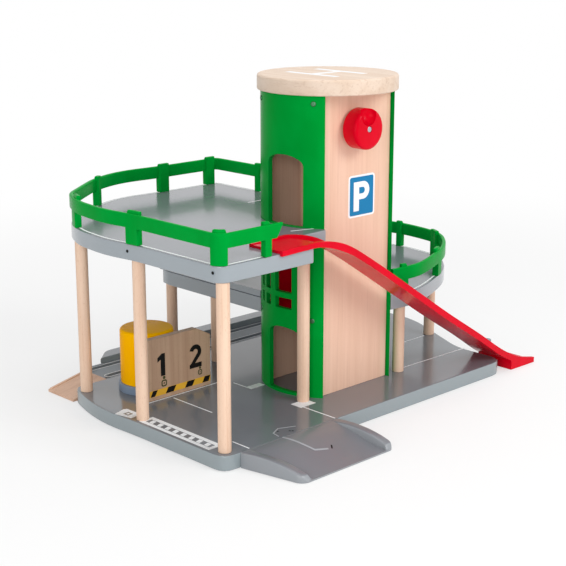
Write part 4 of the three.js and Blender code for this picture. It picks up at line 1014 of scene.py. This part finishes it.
digit_one = [(3.6, 0), (8.6, 0), (8.6, 21), (5.0, 21), (0, 17.6), (0, 13.6), (3.6, 15.6)]
mark_on_front("digit_one", [moved(digit_one, -153, 34.5)], BOARD_Y, BLACK_INK)
outer = arc(7.0, 15.0, 7.0, 165, -30) + [(6.6, 4.4)]
inner = [(1.6, 4.4)] + arc(7.0, 15.0, 2.7, -42, 165)
digit_two = outer + [(14.2, 4.4), (14.2, 0), (0, 0), (0, 3.6)] + inner
mark_on_front("digit_two", [moved(digit_two, -116, 33.5)], BOARD_Y, BLACK_INK)
person = arc(0, 9.2, 1.7, 0, 340, 14)
frame_loop = rounded(-3.4, 3.4, 0, 7, 2.2)
frame_hole = rounded(-2.0, 2.0, 1.4, 5.6, 1.2)
for icon_name, x, z, scale in (("one", -145.9, 24.2, 0.92), ("two", -103.8, 25.6, 0.72)):
    loops = [moved(loop, x, z, scale) for loop in (frame_loop, frame_hole, person)]
    mark_on_front("icon_" + icon_name, loops, BOARD_Y, OLIVE_INK)
    spot = arc(x, z + 3.5 * scale, 0.9 * scale, 0, 340, 12)
    mark_on_front("icon_spot_" + icon_name, [spot], BOARD_Y, OLIVE_INK)
mark_on_front("hazard_band", [rectangle(-162.5, -91.5, 17, 22.8)], BOARD_Y, YELLOW_INK)
BAR_LOW, BAR_HIGH, BAR_SLANT, BAR_LIFT, LAST_BAR_END = 17.2, 22.6, 3.0, 0.08, -91.8
for index, (x0, x1) in enumerate(((-161.8, -156.4), (-144.4, -135), (-121.9, -113), (-101.3, -93.5))):
    bar = [(x0, BAR_LOW), (x1 - 0.4, BAR_LOW), (min(x1 + BAR_SLANT, LAST_BAR_END), BAR_HIGH),
           (x0 + BAR_SLANT, BAR_HIGH)]
    mark_on_front("hazard_bar_%d" % index, [bar], BOARD_Y, BLACK_INK, BAR_LIFT)


# Floor, light and camera

FLOOR_REACH, FLOOR_DROP = 14.0, 0.0004  # in metres
FLOOR_SHADE = (0.88, 0.88, 0.88, 1)
# How far from the toy the floor fades to plain white, and how much of that white it has near the toy
FADE_START, FADE_END, FADE_NEAR = 0.32, 1.1, 0.55
WORLD_LIGHT, WORLD_SHOWN = 0.54, 1.0  # the world's strength as a light, and as it is seen


def seen_directly(tree):
    """One for the camera's rays and for mirrored ones, and zero for rays that light the toy."""
    light_path = tree.nodes.new("ShaderNodeLightPath")
    found = light_path.outputs["Is Camera Ray"]
    for kind in ("Is Glossy Ray", "Is Transmission Ray"):
        either = tree.nodes.new("ShaderNodeMath")
        either.operation = "MAXIMUM"
        tree.links.new(found, either.inputs[0])
        tree.links.new(light_path.outputs[kind], either.inputs[1])
        found = either.outputs[0]
    return found


floor_mesh = bpy.data.meshes.new("floor")
floor_corners = rectangle(-FLOOR_REACH, FLOOR_REACH, -FLOOR_REACH, FLOOR_REACH)
floor_mesh.from_pydata([(x, y, 0) for x, y in floor_corners], [], [(0, 1, 2, 3)])
floor = bpy.data.objects.new("floor", floor_mesh)
COLLECTION.objects.link(floor)
floor.location.z = -FLOOR_DROP
ground = Finish("floor", Roughness=0.9, Specular_IOR_Level=0.1, Base_Color=FLOOR_SHADE)
glow = ground.add("ShaderNodeEmission", {"Strength": 1.0})
far_off = ground.add("ShaderNodeVectorMath", {0: ground.place.outputs["Object"]}, operation="LENGTH")
fade = ground.steps(far_off.outputs["Value"], FADE_START, FADE_END, FADE_NEAR)
share = ground.add("ShaderNodeMath", {0: fade, 1: seen_directly(ground.tree)}, operation="MULTIPLY")
blend = ground.add("ShaderNodeMixShader", {
    0: share.outputs[0], 1: ground.shader.outputs[0], 2: glow.outputs[0],
})
ground.tree.links.new(blend.outputs[0], ground.tree.nodes["Material Output"].inputs["Surface"])
floor_mesh.materials.append(ground.data)

world = bpy.data.worlds.new("soft white")
bpy.context.scene.world = world
world.use_nodes = True
sky = world.node_tree.nodes["Background"]
sky.inputs["Color"].default_value = WHITE
shown = seen_directly(world.node_tree)
strength = world.node_tree.nodes.new("ShaderNodeMapRange")
strength.inputs["To Min"].default_value = WORLD_LIGHT
strength.inputs["To Max"].default_value = WORLD_SHOWN
world.node_tree.links.new(shown, strength.inputs["Value"])
world.node_tree.links.new(strength.outputs["Result"], sky.inputs["Strength"])


LAMP_AIM = (0, 0.03, 0.12)


def softbox(name, place, size, power):
    """A round soft lamp that looks at the toy; places and sizes in metres."""
    lamp = bpy.data.lights.new(name, "AREA")
    lamp.shape = "DISK"
    lamp.size = size
    lamp.energy = power
    holder = bpy.data.objects.new(name, lamp)
    COLLECTION.objects.link(holder)
    holder.location = place
    aim = Vector(LAMP_AIM) - Vector(place)
    holder.rotation_euler = aim.to_track_quat("-Z", "Y").to_euler()


softbox("key", (0.4, -1.5, 1.1), 0.9, 13)
softbox("left_fill", (-1.3, -0.85, 0.5), 0.9, 7.5)
softbox("top", (0.0, 0.1, 1.7), 1.3, 9)

# The camera that was fitted to the photo
YAW_DEG, PITCH_DEG, FOCAL_PX, FRAME_PX, SENSOR_MM = -43.938, 14.678, 1322.1, 566, 36.0
lens = bpy.data.cameras.new("camera")
lens.sensor_width = SENSOR_MM
lens.lens = FOCAL_PX / FRAME_PX * lens.sensor_width
lens.clip_start = 0.05
lens.clip_end = 60.0
camera = bpy.data.objects.new("camera", lens)
COLLECTION.objects.link(camera)
camera.location = (-0.847831, -0.822637, 0.41378)
camera.rotation_euler = (math.radians(90 - PITCH_DEG), 0, math.radians(YAW_DEG))
bpy.context.scene.camera = camera
bpy.context.scene.view_settings.view_transform = "Standard"
